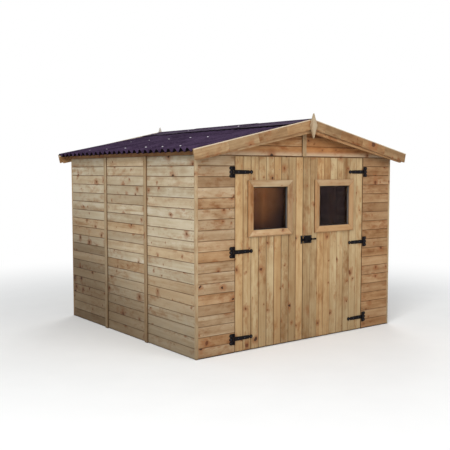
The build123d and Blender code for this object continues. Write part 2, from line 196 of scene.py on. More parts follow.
world = bpy.data.worlds.new("sky")
bpy.context.scene.world = world
world.use_nodes = True
sky = world.node_tree
sky.nodes.clear()
ambient = add(sky, "ShaderNodeBackground", {"Color": (0.93, 0.97, 1.0, 1.0), "Strength": SKY_STRENGTH})
white = add(sky, "ShaderNodeBackground", {"Color": (1.0, 1.0, 1.0, 1.0), "Strength": 1.0})
sky_mix = add(sky, "ShaderNodeMixShader", {0: looked_at(sky), 1: ambient.outputs[0], 2: white.outputs[0]})
add(sky, "ShaderNodeOutputWorld", {"Surface": sky_mix.outputs[0]})
bpy.context.scene.view_settings.view_transform = "Standard"
print("sky made, strength", SKY_STRENGTH)

# %% [markdown]
# ## Floor
# The shed stands on a pale studio floor that keeps its shadow. Away from the shed the floor turns into
# plain white for the camera, so no horizon shows.

# %% Floor
FLOOR_HALF = 60.0
SHADOW_ENDS = (2.0, 6.0)        # the floor turns white between these distances from the shed's middle


def to_mesh(bm, name):
    """Turns a bmesh into a mesh, and frees it."""
    mesh = bpy.data.meshes.new(name)
    bm.to_mesh(mesh)
    bm.free()
    return mesh


def floor_material():
    material, tree, shader = new_material("studio floor")
    shader.inputs["Roughness"].default_value = 1.0
    shader.inputs["Specular IOR Level"].default_value = 0.0
    place = object_place(tree)
    shade = blend_colours(tree, noise(tree, place, 3.0, 3.0), (0.86, 0.86, 0.86, 1), (0.90, 0.90, 0.90, 1))
    tree.links.new(shade, shader.inputs["Base Color"])
    distance = add(tree, "ShaderNodeVectorMath", {0: place}, operation="LENGTH").outputs["Value"]
    whiteness = times(tree, looked_at(tree), fade(tree, distance, *SHADOW_ENDS))
    glow = add(tree, "ShaderNodeEmission", {"Color": (1, 1, 1, 1), "Strength": 1.0})
    mixed = add(tree, "ShaderNodeMixShader", {0: whiteness, 1: shader.outputs[0], 2: glow.outputs[0]})
    tree.links.new(mixed.outputs[0], tree.nodes["Material Output"].inputs["Surface"])
    return material


floor_grid = bmesh.new()
bmesh.ops.create_grid(floor_grid, x_segments=1, y_segments=1, size=FLOOR_HALF)
floor = new_object("floor", to_mesh(floor_grid, "floor"))
floor.data.materials.append(floor_material())
print("floor made,", FLOOR_HALF * 2, "m wide")

# %% [markdown]
# ## Lamps
# One wide soft lamp in front and to the left lights both walls that face it, a second from the front
# right fills the shadows, and a third behind keeps the far sides from going dull. Indoors a small warm
# spot lights the far end of the right wall, so that the left pane shows there is a room behind it.


# %% Lamps
def lamp_data(name, kind, place, target, power, colour):
    """The settings of a new lamp at `place` that faces `target`."""
    data = bpy.data.lights.new(name, kind)
    data.energy = power
    data.color = colour
    lamp = new_object(name, data)
    lamp.location = place
    lamp.rotation_euler = (Vector(target) - Vector(place)).to_track_quat("-Z", "Y").to_euler()
    print(name, power, "W")
    return data


for name, place, level, size, power, colour in (
        ("key lamp", (-7.0, -5.6, 6.5), 0.9, 4.5, 700.0, (1.0, 0.99, 0.97)),
        ("fill lamp", (2.5, -9.0, 4.0), 1.0, 5.0, 270.0, (1.0, 0.98, 0.96)),
        ("rear lamp", (6.5, 7.0, 5.5), 1.0, 5.0, 330.0, (1.0, 0.99, 0.97))):
    soft = lamp_data(name, "AREA", place, (0.0, 0.0, level), power, colour)
    soft.shape = "SQUARE"
    soft.size = size

spot = lamp_data("room lamp", "SPOT", (0.15, 0.75, 1.45), (1.19, 0.89, 1.27), 41.0, (1.0, 0.68, 0.34))
spot.spot_size = math.radians(43.0)
spot.spot_blend = 0.5
spot.shadow_soft_size = 0.1

# %% [markdown]
# ## Wood
# Every board is cut from a different part of a log. Each board here carries three attributes: `grain`,
# a vertex's place along, across and through its own board, moved to a random spot in an endless log;
# `tone`, three random numbers that are the same all over the board; and `joint`, which is 1 down in the
# joint between two boards, where the shader paints shade and dirt. One shader reads them, so the grain
# follows each board however it is turned.
#
# Knots come first, because the rings bend round them. A cell of a flat Voronoi pattern holds one knot,
# of a size that differs from cell to cell, or none. Most are in patches, where the resin has stained the
# wood too.

# %% Knots
KNOT_SMALLEST = 0.022
KNOT_GROWTH = 0.090     # how much bigger the largest knots are
KNOT_CELLS = 5.2        # cells in a metre; outside the patches about half of them are empty


def stretched(tree, grain, scale, detail, roughness=0.5):
    """Noise stretched along the board; `scale` is along, across and through."""
    return noise(tree, vector_arithmetic(tree, "MULTIPLY", grain, scale), 1.0, detail, roughness)


def knot_pattern(tree, grain, patch, knots):
    """How far off the nearest knot is, in knot sizes, and how black and dead that knot is."""
    wobble = times(tree, stretched(tree, grain, (16.0, 22.0, 22.0), 3.0), 0.045)
    bent = vector_arithmetic(tree, "ADD", grain, wobble)
    cells = add(tree, "ShaderNodeTexVoronoi", {"Vector": bent, "Scale": KNOT_CELLS},
                voronoi_dimensions="2D")
    draws = add(tree, "ShaderNodeSeparateColor", {0: cells.outputs["Color"]}).outputs
    size = arithmetic(tree, "POWER", draws[0], 2.5)
    size = plus(tree, times(tree, size, KNOT_GROWTH * knots), KNOT_SMALLEST * knots)
    size = times(tree, size, fade(tree, plus(tree, draws[2], times(tree, patch, 0.45)), 0.45, 0.50))
    distance = arithmetic(tree, "DIVIDE", cells.outputs["Distance"], plus(tree, size, 0.0005))
    return distance, fade(tree, draws[1], 0.45, 0.75)


def knotted(tree, colour, smear, distance, core, dead):
    """Brown smears round the knots, and the knots themselves."""
    uneven = times(tree, distance, plus(tree, times(tree, smear, 3.0), -0.5))
    halo = fade(tree, uneven, 0.8, 4.0, 1.0, 0.0)
    colour = blend_colours(tree, times(tree, halo, 0.72), colour, paint(136, 84, 48))
    knot_colour = blend_colours(tree, dead, paint(98, 56, 32), paint(38, 24, 17))
    return blend_colours(tree, times(tree, core, 0.92), colour, knot_colour)


print("knots ready, up to", KNOT_CELLS, "in a metre")

# %% [markdown]
# Year rings are circles round the log's heart, which a Wave texture set to rings draws. Squeezing the
# log's length draws them out along the board. Stretched noises add bands, streaks and blotches, and
# together they pick a place on a ramp of three colours, from the pale wood to the deep.

# %% Rings and figure
STREAKS, BANDS, BLOTCHES = 0.40, 0.55, 0.50     # how strong each noise is in the figure


def year_rings(tree, grain, knot_distance):
    push = times(tree, fade(tree, knot_distance, 0.8, 4.0, 1.0, 0.0), 0.012)
    waver = times(tree, stretched(tree, grain, (1.1, 5.0, 5.0), 2.0), 0.05)
    shift = add(tree, "ShaderNodeCombineXYZ", {"Y": plus(tree, push, waver)}).outputs[0]
    log = vector_arithmetic(tree, "MULTIPLY", vector_arithmetic(tree, "ADD", grain, shift), (0.05, 1.0, 1.0))
    return add(tree, "ShaderNodeTexWave", {"Vector": log, "Scale": 42.0, "Distortion": 1.2, "Detail": 2.0,
                                           "Detail Scale": 1.5},
               wave_type="RINGS", rings_direction="X", wave_profile="SAW").outputs["Fac"]


def wood_figure(tree, grain, rings, blotches, streakiness):
    """From about 0, pale, to about 1, deep, with more contrast in a streaky board."""
    streaks = stretched(tree, grain, (1.6, 46.0, 46.0), 3.0, 0.6)
    bands = stretched(tree, grain, (1.3, 15.0, 15.0), 2.0)
    figure = plus(tree, times(tree, streaks, STREAKS), times(tree, bands, BANDS))
    figure = plus(tree, figure, times(tree, blotches, BLOTCHES))
    figure = arithmetic(tree, "SUBTRACT", figure, (STREAKS + BANDS + BLOTCHES) / 2)
    figure = times(tree, figure, plus(tree, times(tree, streakiness, 1.3), 0.9))
    figure = plus(tree, figure, times(tree, arithmetic(tree, "SUBTRACT", rings, 0.5), 0.15))
    return plus(tree, figure, 0.5)


def three_colours(tree, value, pale, middle, deep):
    ramp = add(tree, "ShaderNodeValToRGB", {0: value})
    stops = ramp.color_ramp.elements
    stops[0].position, stops[0].color = 0.18, pale
    stops[1].position, stops[1].color = 0.90, deep
    stops.new(0.52).color = middle
    return ramp.outputs[0]


print("rings and figure ready")

# %% [markdown]
# No two boards in a pack match: one is lighter, browner or redder than the next. Then weather and painted
# light work on all of them. The lower part gets darker, with damp and painted shade that reach higher
# towards the back, a painted contact shadow blackens the lowest edge, painted light makes the foot of a
# gable paler, where the roof's shade ends, and resin stains the wood round the knots.

# %% Board tones, weather and painted shade
PALE_BELOW, NATURAL_ABOVE = 0.008, 0.055        # heights above a gable's foot, over which its painted light fades out


def toned(tree, colour, lightness, warmth, spread, warm):
    """One board's own shade: `spread` and `warm` say how far it may stray."""
    brown = (1.0 - 0.28 * spread, 1.0 - 0.35 * spread, 1.0 - 0.42 * spread, 1.0)
    light = 1.0 + 0.13 * spread
    colour = glazed(tree, colour, blend_colours(tree, lightness, brown, (light, light, light, 1.0)))
    redder = glazed(tree, colour, (1.03, 0.83, 0.64, 1.0))
    return blend_colours(tree, times(tree, warmth, warm), colour, redder)


# Painted light: the foot of a gable is made paler, where the roof's shade ends.
def lit_gable_foot(tree, colour, lit_foot):
    height = add(tree, "ShaderNodeSeparateXYZ", {0: object_place(tree)}).outputs["Z"]
    pale = fade(tree, height, GABLE_FOOT + PALE_BELOW, GABLE_FOOT + NATURAL_ABOVE, lit_foot, 0.0)
    return blend_colours(tree, pale, colour, paint(186, 169, 143))


def resin_stained(tree, colour, patch, smear, stains):
    resin = plus(tree, times(tree, patch, 0.75), 0.08)
    resin = times(tree, resin, fade(tree, smear, 0.42, 0.66, 0.0, stains))
    return blend_colours(tree, resin, colour, glazed(tree, colour, (0.70, 0.47, 0.33, 1.0)))


# Darker towards the ground, partly damp and partly painted shade, which reaches higher towards the back.
def damp_and_shaded(tree, colour, blotches, damp_and_shade, ground_shadow):
    _, y, z = add(tree, "ShaderNodeSeparateXYZ", {0: object_place(tree)}).outputs
    back = fade(tree, y, -0.9, 1.2, 0.22, -0.45)
    height = plus(tree, plus(tree, z, times(tree, blotches, 0.5)), back)
    damp_shade_glaze = glazed(tree, colour, (0.38, 0.33, 0.28, 1.0))
    colour = blend_colours(tree, fade(tree, height, 0.15, 1.35, damp_and_shade, 0.0), colour, damp_shade_glaze)
    # Painted contact shadow along the lowest edge.
    ground_shadow_glaze = glazed(tree, colour, (0.14, 0.11, 0.09, 1.0))
    return blend_colours(tree, fade(tree, z, 0.007, 0.015, ground_shadow, 0.0), colour, ground_shadow_glaze)


print("gable foot at", round(GABLE_FOOT, 3), "m")

# %% [markdown]
# One function puts these steps together, in the order in which they happen to real wood, and returns a
# material. Each kind of timber on the shed then needs only its three colours and a few strengths.


# %% Wood shader
def wood(name, pale, middle, deep, spread=1.0, warm=1.0, knots=1.0, stains=1.0, joints=0.75, damp_and_shade=0.0,
         ground_shadow=0.0, lit_rim=False, lit_foot=0.0):
    """Sawn softwood in three colours. `spread` is how much lighter or darker boards differ, `warm` how
    much redder, `knots` how big the knots are, `stains` how strong the resin is, `joints` how dark the
    painted shade and dirt in the joints are, `damp_and_shade` how dark damp and painted shade make the
    lower part, `ground_shadow` how black the painted contact shadow on its lowest edge is, `lit_rim`
    paints a highlight on a board's upper rim, and `lit_foot` is how pale painted light makes the foot
    of a gable."""
    material, tree, shader = new_material(name)
    grain = add(tree, "ShaderNodeAttribute", attribute_name="grain").outputs["Vector"]
    tone = add(tree, "ShaderNodeAttribute", attribute_name="tone").outputs["Vector"]
    joint = add(tree, "ShaderNodeAttribute", attribute_name="joint").outputs["Fac"]
    lightness, warmth, streakiness = add(tree, "ShaderNodeSeparateXYZ", {0: tone}).outputs
    patch = fade(tree, stretched(tree, grain, (2.4, 6.0, 6.0), 3.0, 0.6), 0.45, 0.62)
    smear = stretched(tree, grain, (13.0, 26.0, 26.0), 4.0, 0.6)
    fibres = stretched(tree, grain, (28.0, 900.0, 900.0), 3.0, 0.7)
    blotches = stretched(tree, grain, (7.0, 14.0, 14.0), 3.0, 0.6)
    knot_distance, dead = knot_pattern(tree, grain, patch, knots)
    core = fade(tree, knot_distance, 0.70, 1.10, 1.0, 0.0)
    rings = year_rings(tree, grain, knot_distance)

    figure = wood_figure(tree, grain, rings, blotches, streakiness)
    colour = three_colours(tree, figure, pale, middle, deep)
    colour = toned(tree, colour, lightness, warmth, spread, warm)
    if lit_foot:
        colour = lit_gable_foot(tree, colour, lit_foot)
    colour = resin_stained(tree, colour, patch, smear, stains)
    colour = knotted(tree, colour, smear, knot_distance, core, dead)
    if damp_and_shade:
        colour = damp_and_shaded(tree, colour, blotches, damp_and_shade, ground_shadow)
    # Painted highlight: the upper rim of a bargeboard is made pale, where it faces the sky.
    if lit_rim:
        rim = fade(tree, times(tree, joint, -1.0), 0.90, 0.94, 0.0, 0.7)
        colour = blend_colours(tree, rim, colour, paint(208, 196, 174))
    # Painted shade and dirt down in the joints, and painted shadow along the sides of strips and mouldings.
    grime = glazed(tree, colour, (0.22, 0.12, 0.06, 1.0))
    colour = blend_colours(tree, fade(tree, joint, 0.0, 0.4, 0.0, joints), colour, grime)
    tree.links.new(colour, shader.inputs["Base Color"])

    rough = add(tree, "ShaderNodeMapRange", {0: fibres, 1: 0.3, 2: 0.7, 3: 0.62, 4: 0.85}).outputs[0]
    tree.links.new(rough, shader.inputs["Roughness"])
    shader.inputs["Specular IOR Level"].default_value = 0.2
    relief = plus(tree, times(tree, rings, 0.35), fibres)
    relief = arithmetic(tree, "SUBTRACT", relief, times(tree, core, 0.5))
    add_bumps(tree, shader, relief, 0.35, 0.0006)
    return material


print("wood shader ready")

# %% [markdown]
# The side walls are paler and greyer, as painted sky light, and the front boards darker and warmer, as
# painted shade. The doors are yellower, the gables are the reddest, partly their own tone and partly
# painted shade under the roof's edge, and the window mouldings and finials are planed from paler,
# cleaner wood.

# %% Kinds of wood
side_wood = wood("side boards", paint(191, 183, 164), paint(175, 163, 139), paint(147, 124, 96),
                 spread=0.95, warm=0.8, knots=0.85, stains=0.8, joints=0.9, damp_and_shade=1.0, ground_shadow=0.4)
front_wood = wood("front boards", paint(173, 155, 129), paint(155, 132, 103), paint(123, 91, 60), spread=0.9,
                  warm=0.8, damp_and_shade=0.25, ground_shadow=1.0)
gable_wood = wood("gable boards", paint(182, 148, 110), paint(162, 120, 78), paint(124, 78, 42), spread=1.0,
                  lit_foot=0.65)
door_wood = wood("door boards", paint(189, 171, 135), paint(168, 144, 107), paint(136, 102, 65), spread=0.8,
                 warm=0.6, stains=0.9, joints=0.6, damp_and_shade=0.45, ground_shadow=1.0)
trim_wood = wood("planed trims", paint(181, 168, 142), paint(165, 146, 116), paint(138, 111, 79),
                 spread=0.5, warm=0.35, knots=0.5, stains=0.6, damp_and_shade=0.8, ground_shadow=0.4)
moulding_wood = wood("window mouldings", paint(186, 170, 143), paint(169, 145, 113), paint(142, 107, 73),
                     spread=0.8, knots=0.4, stains=0.7)
barge_wood = wood("bargeboards", paint(164, 142, 110), paint(142, 116, 84), paint(106, 75, 47), spread=1.1,
                  warm=0.9, knots=1.3, stains=1.3, lit_rim=True)
finial_wood = wood("finials", paint(175, 161, 138), paint(163, 145, 119), paint(143, 120, 91),
                   spread=0.4, warm=0.3, knots=0.3, stains=0.3)
pale_wood = wood("pale finial", paint(200, 193, 184), paint(188, 180, 170), paint(165, 154, 141),
                 spread=0.2, warm=0.1, knots=0.2, stains=0.1)
frame_wood = wood("framing", paint(176, 146, 110), paint(152, 118, 82), paint(118, 84, 54), spread=0.9)
# Painted light: the linings' grey is the blue sky light on their shaded faces.
sky_lit_lining_wood = wood("grey linings", paint(122, 116, 110), paint(104, 99, 95), paint(80, 76, 73),
                   spread=0.3, warm=0.1, knots=0.3, stains=0.2)
print("eleven kinds of wood")

# %% [markdown]
# ## Roof sheets
# The roof is matt bitumen sheet, a felt soaked in tar, with a coloured top. It is speckled and fibrous,
# with dust on it and dirt in it, which two fine noises give. Each face will carry an attribute,
# `shaded_below`, so that one material can colour the top and paint the underside and the cut edges
# nearly black, as painted shade.


# %% Bitumen sheet
def roof_sheet_material():
    material, tree, shader = new_material("bitumen sheet")
    place = object_place(tree)
    broad = noise(tree, place, 4.0, 4.0, 0.6)
    fine = noise(tree, place, 160.0, 4.0, 0.7)
    grit = noise(tree, place, 60.0, 5.0, 0.75)
    base = blend_colours(tree, fade(tree, broad, 0.35, 0.65), paint(46, 33, 52), paint(66, 51, 74))
    base = blend_colours(tree, fade(tree, grit, 0.48, 0.72, 0.0, 0.55), base, paint(90, 75, 100))
    base = blend_colours(tree, fade(tree, fine, 0.60, 0.80, 0.0, 0.35), base, paint(26, 17, 31))
    shaded_below = add(tree, "ShaderNodeAttribute", attribute_name="shaded_below").outputs["Fac"]
    # Painted shade: faces that don't look up, and the cut edges, are painted nearly black.
    base = blend_colours(tree, shaded_below, base, paint(22, 15, 20))
    tree.links.new(base, shader.inputs["Base Color"])
    shader.inputs["Roughness"].default_value = 1.0
    shader.inputs["Specular IOR Level"].default_value = 0.05
    add_bumps(tree, shader, plus(tree, fine, grit), 0.5, 0.0012)
    return material


roof_material = roof_sheet_material()
print(roof_material.name, "made")

# %% [markdown]
# ## Iron, sealant and nail caps
# The hinges and the bolt are steel under black paint, which is slightly lumpy. Their screws are darker,
# shinier steel, and the roofing nails have caps of pale plastic, made greyer towards the back of the
# roof. Paint, rubber, metal and plastic can share one function, because a little unevenness in colour
# and gloss is what makes each of them look used.


# %% Iron, sealant and nail caps
def uneven_coat(name, dark, light, roughness, metallic=0.0, shine=0.5):
    """A coat that goes from `dark` to `light` in patches."""
    material, tree, shader = new_material(name)
    place = object_place(tree)
    patches = noise(tree, place, 45.0, 4.0)
    colour = blend_colours(tree, fade(tree, patches, 0.4, 0.7), dark, light)
    tree.links.new(colour, shader.inputs["Base Color"])
    rough = add(tree, "ShaderNodeMapRange", {0: patches, 1: 0.3, 2: 0.7, 3: roughness - 0.08,
                                             4: roughness + 0.12}).outputs[0]
    tree.links.new(rough, shader.inputs["Roughness"])
    shader.inputs["Metallic"].default_value = metallic
    shader.inputs["Specular IOR Level"].default_value = shine
    add_bumps(tree, shader, noise(tree, place, 900.0, 2.0), 0.3, 0.0002)
    return material


def greyed_towards_back(material):
    """Greys what stands further back on the roof."""
    tree = material.node_tree
    base = tree.nodes["Principled BSDF"].inputs["Base Color"]
    colour = base.links[0].from_socket
    y = add(tree, "ShaderNodeSeparateXYZ", {0: object_place(tree)}).outputs["Y"]
    dull = blend_colours(tree, fade(tree, y, -0.6, 0.8, 0.0, 0.85), colour, paint(84, 72, 90))
    tree.links.new(dull, base)


black_iron = uneven_coat("black iron", paint(12, 8, 9), paint(24, 18, 19), 0.60, shine=0.08)
sealant = uneven_coat("black sealant", paint(17, 13, 12), paint(28, 22, 20), 0.60, shine=0.15)
screw_steel = uneven_coat("screw steel", paint(50, 52, 60), paint(80, 82, 92), 0.38, metallic=0.6)
nail_steel = uneven_coat("nail steel", paint(96, 86, 76), paint(132, 122, 110), 0.45, metallic=0.6)
cap_plastic = uneven_coat("nail caps", paint(182, 177, 184), paint(212, 208, 214), 0.45, shine=0.3)
greyed_towards_back(cap_plastic)
print("five coats made")

# %% [markdown]
# ## Panes
# The panes are clear, with a faint film of dust that roughens them in patches, so the room behind shows
# only as a warm blur.


# %% Glass
def glazing():
    material, tree, shader = new_material("glazing")
    film = noise(tree, object_place(tree), 7.0, 5.0, 0.65)
    tint = blend_colours(tree, film, (0.83, 0.75, 0.70, 1), (0.93, 0.86, 0.81, 1))
    tree.links.new(tint, shader.inputs["Base Color"])
    tree.links.new(fade(tree, film, 0.40, 0.70, 0.14, 0.26), shader.inputs["Roughness"])
    shader.inputs["Transmission Weight"].default_value = 1.0
    shader.inputs["IOR"].default_value = 1.2
    shader.inputs["Specular Tint"].default_value = (1.0, 0.60, 0.64, 1.0)
    return material


glass = glazing()
print(glass.name, "made")

# %% [markdown]
# ## From CAD solid to timber
# A CAD node arrives as loose triangles. A copy of it is merged into proper solids, and its flat faces
# are put back together, before any edge is rounded. One node often holds several lengths of timber, so
# another helper finds the separate solids again, by walking from corner to corner.


# %% Helpers for solids
def everything(bm):
    return bm.verts[:] + bm.edges[:] + bm.faces[:]


def gather(target, bm):
    """Adds one bmesh to another, and frees it."""
    mesh = to_mesh(bm, "part")
    target.from_mesh(mesh)
    bpy.data.meshes.remove(mesh)


def merged(*nodes):
    """CAD nodes as one bmesh of closed solids, with flat faces made whole."""
    whole = bmesh.new()
    for node in nodes:
        bm = bmesh.new()
        bm.from_mesh(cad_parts[node].data)
        bmesh.ops.remove_doubles(bm, verts=bm.verts, dist=2e-5)
        bmesh.ops.dissolve_limit(bm, angle_limit=math.radians(0.6), verts=bm.verts, edges=bm.edges)
        gather(whole, bm)
    whole.normal_update()
    return whole


def solids(bm):
    """The separate solids of a bmesh, each as a list of its vertices, in a fixed order."""
    seen_verts, groups = set(), []
    for first in bm.verts:
        if first in seen_verts:
            continue
        seen_verts.add(first)
        group, waiting = [], [first]
        while waiting:
            vert = waiting.pop()
            group.append(vert)
            for edge in vert.link_edges:
                other = edge.other_vert(vert)
                if other not in seen_verts:
                    seen_verts.add(other)
                    waiting.append(other)
        groups.append(group)
    return groups


def corners(verts):
    """Lowest and highest corner of some vertices."""
    places = [v.co for v in verts]
    return (Vector([min(p[i] for p in places) for i in range(3)]),
            Vector([max(p[i] for p in places) for i in range(3)]))


def solid_boxes(node):
    """The box of each separate solid of a CAD node."""
    bm = merged(node)
    boxes = [corners(group) for group in solids(bm)]
    bm.free()
    return sorted(boxes, key=lambda box: tuple(box[0]))


print(len(solid_boxes("wall_studs")), "studs found in one node")

# %% [markdown]
# ## Marking boards
# These helpers write the three attributes that the wood shader reads. The dice are seeded, so every
# board gets the same character each time the script runs.

# %% Grain, tone and joint
LOG = 40.0              # boards are cut from anywhere in a log this long, in metres
PLAIN = (0.0, 0.0)      # the mood of an ordinary board
dice = random.Random(11)


def add_layers(bm):
    """The attributes that the wood shader reads: grain, tone and joint."""
    layers = bm.verts.layers
    return layers.float_vector.new("grain"), layers.float_vector.new("tone"), layers.float.new("joint")


def board_character(mood=PLAIN):
    """A spot in the log, and one board's lightness, warmth and streakiness: most boards are ordinary.
    `mood` is added to the lightness and the warmth, for a batch of darker or redder boards."""
    spot = Vector((dice.uniform(0, LOG), dice.uniform(0, LOG), dice.uniform(0.02, 0.12)))
    odd = dice.random()
    lightness = dice.triangular(0.35, 1.0, 0.72) if odd < 0.82 else dice.uniform(0.0, 0.35)
    warmth = dice.uniform(0.0, 0.35) if dice.random() < 0.78 else dice.uniform(0.4, 1.0)
    return spot, Vector((lightness + mood[0], warmth + mood[1], dice.random() ** 1.5))


def mark(verts, layers, place_in_board, spot, tone):
    """Writes a board's grain and tone."""
    for vert in verts:
        vert[layers[0]] = place_in_board(vert.co) + spot
        vert[layers[1]] = tone


print("boards are cut from a log", LOG, "m long")

# %% [markdown]
# ## Finished pieces
# A piece is one object with one material. It rides on a body, so that it turns with a door, and it may
# stand for CAD nodes, which are then hidden.


# %% Helpers for pieces
def finish_piece(bm, name, body, material, nodes=()):
    """Makes an object of a bmesh, which rides on a body and stands for CAD nodes. Returns the object."""
    bmesh.ops.recalc_face_normals(bm, faces=bm.faces)
    piece = new_object(name, to_mesh(bm, name))
    piece.data.materials.append(material)
    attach(piece, body)
    if nodes:
        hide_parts(*nodes)
    print(name, len(piece.data.polygons), "faces")
    return piece


def add_box(bm, place, size):
    """A box of a given size, laid where the matrix `place` says."""
    bmesh.ops.create_cube(bm, size=1.0, matrix=place @ Matrix.Diagonal((*size, 1.0)))


def bevelled(bm, edges, width, segments=2, overlap_safe=False):
    bmesh.ops.bevel(bm, geom=edges, offset=width, offset_type="OFFSET", segments=segments, profile=0.5,
                    affect="EDGES", material=-1, clamp_overlap=overlap_safe)


def just_verts(geometry):
    return [item for item in geometry if isinstance(item, bmesh.types.BMVert)]


def pushed(bm, faces, offset):
    """Pushes some faces in or out by `offset`, with new walls round them."""
    raised = bmesh.ops.extrude_face_region(bm, geom=faces)["geom"]
    bmesh.ops.delete(bm, geom=faces, context="FACES_ONLY")
    bmesh.ops.translate(bm, verts=just_verts(raised), vec=offset)


print("helpers for pieces ready")

# %% [markdown]
# ## Framing, purlins and trims
# All of these are plain lengths of timber, so one function dresses them. Real timber never has a knife
# edge, so each edge gets a small round, which also catches the light. Then the function finds each
# solid's longest edge, because the grain runs along it, and its widest long face, which gives the
# direction through the board.

# %% Dress plain timbers
ROUND = 0.0015          # radius of the softened edges of planed timber


def longest_direction(group):
    """The direction of a solid's longest edge."""
    edges = {edge.index: edge for vert in group for edge in vert.link_edges}
    edge = max(edges.values(), key=lambda e: (round(e.calc_length(), 5), -e.index))
    return (edge.verts[1].co - edge.verts[0].co).normalized()


def thickness_direction(group, along):
    """The normal of the largest face that runs along the solid."""
    faces = {face.index: face for vert in group for face in vert.link_faces}
    running = [face for face in faces.values() if abs(face.normal.dot(along)) < 0.2]
    normal = max(running, key=lambda f: (round(f.calc_area(), 7), -f.index)).normal
    return (normal - along * normal.dot(along)).normalized()


def dressed(bm, name, body, slot, material, nodes=(), along=None, rounding=ROUND,
            mood=lambda middle: PLAIN, grime=0.0):
    """Rounds the edges of plain timber and gives each solid its grain, along `along` or its longest edge.
    `mood` makes a length's mood from its middle, and `grime` says how dark its sides are
    painted where they meet the boards behind it, as painted shadow."""
    bevelled(bm, bm.edges[:], rounding, overlap_safe=True)
    bm.normal_update()
    bm.edges.index_update()
    bm.faces.index_update()
    layers = add_layers(bm)
    for group in solids(bm):
        low, high = corners(group)
        length = along or longest_direction(group)
        through = thickness_direction(group, length)
        across = through.cross(length)
        spot, tone = board_character(mood((low + high) / 2))
        mark(group, layers, lambda co: Vector((co.dot(length), co.dot(across), co.dot(through))), spot, tone)
        # Painted shadow goes on the sides that meet the boards behind.
        face = abs((low + high).dot(through)) / 2
        for vert in group:
            vert[layers[2]] = grime if abs(vert.co.dot(through)) < face else 0.0
    return finish_piece(bm, name, body, material, nodes)


def timbers(name, body, slot, material, *nodes, **how):
    """Plain lengths of timber, from CAD nodes."""
    return dressed(merged(*nodes), name, body, slot, material, nodes, **how)


print("edges rounded by", ROUND * 1000, "mm")

# %% [markdown]
# The purlins are painted darker, as shade under the eaves. The strip on each gable is as warm and dark
# as its boards, partly painted shade too, and the two rear corner posts are redder than the front ones.

# %% Framing, purlins and trims
timbers("wall_framing", "shed", "framing", frame_wood, "wall_studs", "bottom_rails", "top_rails",
        "gable_posts", "gable_rafters", "door_head", "door_threshold")
# Painted shade: the roof timbers are made darker, as under the eaves.
timbers("roof_timbers", "shed", "framing", frame_wood, "eaves_purlins", "middle_purlins", "ridge_purlin",
        mood=lambda middle: (-0.7, 0.25))
timbers("rafters_at_gables", "shed", "framing", frame_wood, "end_rafters")
timbers("cover_strips", "shed", "trims", trim_wood, "wall_cover_strips", "gable_cover_strips", grime=0.6,
        mood=lambda middle: (-0.15, 1.0) if middle.z > GABLE_FOOT else PLAIN)
timbers("corner_posts", "shed", "trims", trim_wood, "corner_battens",
        mood=lambda middle: (-0.3, 0.9) if middle.y > 0 else PLAIN)
for end, material in (("front", finial_wood), ("back", pale_wood)):
    timbers(f"{end}_finial_timber", "shed", "finials", material, f"{end}_finial", along=Z, rounding=0.002)

# %% [markdown]
# ## Bargeboards
# Long trims like these are made of short lengths, glued end to end, so that knots can be sawn out. Each
# length is a copy of the whole board with its two ends cut off, and as each has its own grain and its
# own rounded rim, a fine line shows where two meet. The front half of each board then gets a negative
# `joint`, which the shader reads as height, to paint a highlight on the rim that faces the sky.

# %% Bargeboards
FIRST_LENGTH = (0.16, 0.34)             # shortest and longest
LATER_LENGTHS = (0.20, 0.34)
LAST_SHORTEST = 0.14
LIT_RIM_REACH = {"front": 1.0, "back": 1.22}      # how far down the painted highlight reaches


def cut_off(bm, point, normal):
    """Saws off what lies beyond a plane, and closes the cut."""
    if not any((vert.co - point).dot(normal) > 1e-5 for vert in bm.verts):
        return
    bmesh.ops.bisect_plane(bm, geom=everything(bm), dist=1e-6, plane_co=point, plane_no=normal,
                           clear_outer=True)
    rim = [edge for edge in bm.edges if edge.is_boundary]
    if rim:
        bmesh.ops.edgeloop_fill(bm, edges=rim)


def finger_jointed(whole, slope):
    """A board sawn into short lengths along its slope."""
    reach = sorted(vert.co.dot(slope) for vert in whole.verts)
    joints, at = [], reach[0] + dice.uniform(*FIRST_LENGTH)
    while at < reach[-1] - LAST_SHORTEST:
        joints.append(at)
        at += dice.uniform(*LATER_LENGTHS)
    lengths = bmesh.new()
    for start, stop in zip([reach[0] - 1] + joints, joints + [reach[-1] + 1]):
        length = whole.copy()
        cut_off(length, slope * start, -slope)
        cut_off(length, slope * stop, slope)
        gather(lengths, length)
    whole.free()
    lengths.normal_update()
    return lengths


# Paints a highlight on the upper rim of each board's front half, where it faces the sky.
def paint_lit_rim(piece, slope, strength):
    up = slope.cross(Y) if slope.cross(Y).z > 0 else Y.cross(slope)
    heights = [vert.co.dot(up) for vert in piece.data.vertices]
    middle_y = sum(vert.co.y for vert in piece.data.vertices) / len(heights)
    for vert, height in zip(piece.data.vertices, heights):
        if vert.co.y < middle_y:
            rise = (height - min(heights)) / (max(heights) - min(heights))
            piece.data.attributes["joint"].data[vert.index].value = -rise * strength


def bargeboard(end, hand):
    node = f"{end}_{hand}_bargeboard"
    whole = merged(node)
    whole.edges.index_update()
    slope = longest_direction(whole.verts)
    piece = dressed(finger_jointed(whole, slope), f"{node}_timber", "shed", "bargeboards", barge_wood,
                    (node,), along=slope, rounding=0.0012)
    paint_lit_rim(piece, slope, LIT_RIM_REACH[end])


for end in ("front", "back"):
    for hand, _ in SIDES:
        bargeboard(end, hand)

# %% [markdown]
# ## Tongued boards
# The walls and doors are clad in matchboard: each board has a tongue on one edge and a groove in the
# other, and its face edges are planed off, so that a V shows at every joint and the wood can swell and
# shrink behind it. A board starts as a block. Two cuts divide its edges into three, and the middle third
# is pushed up, out of one edge and into the other.

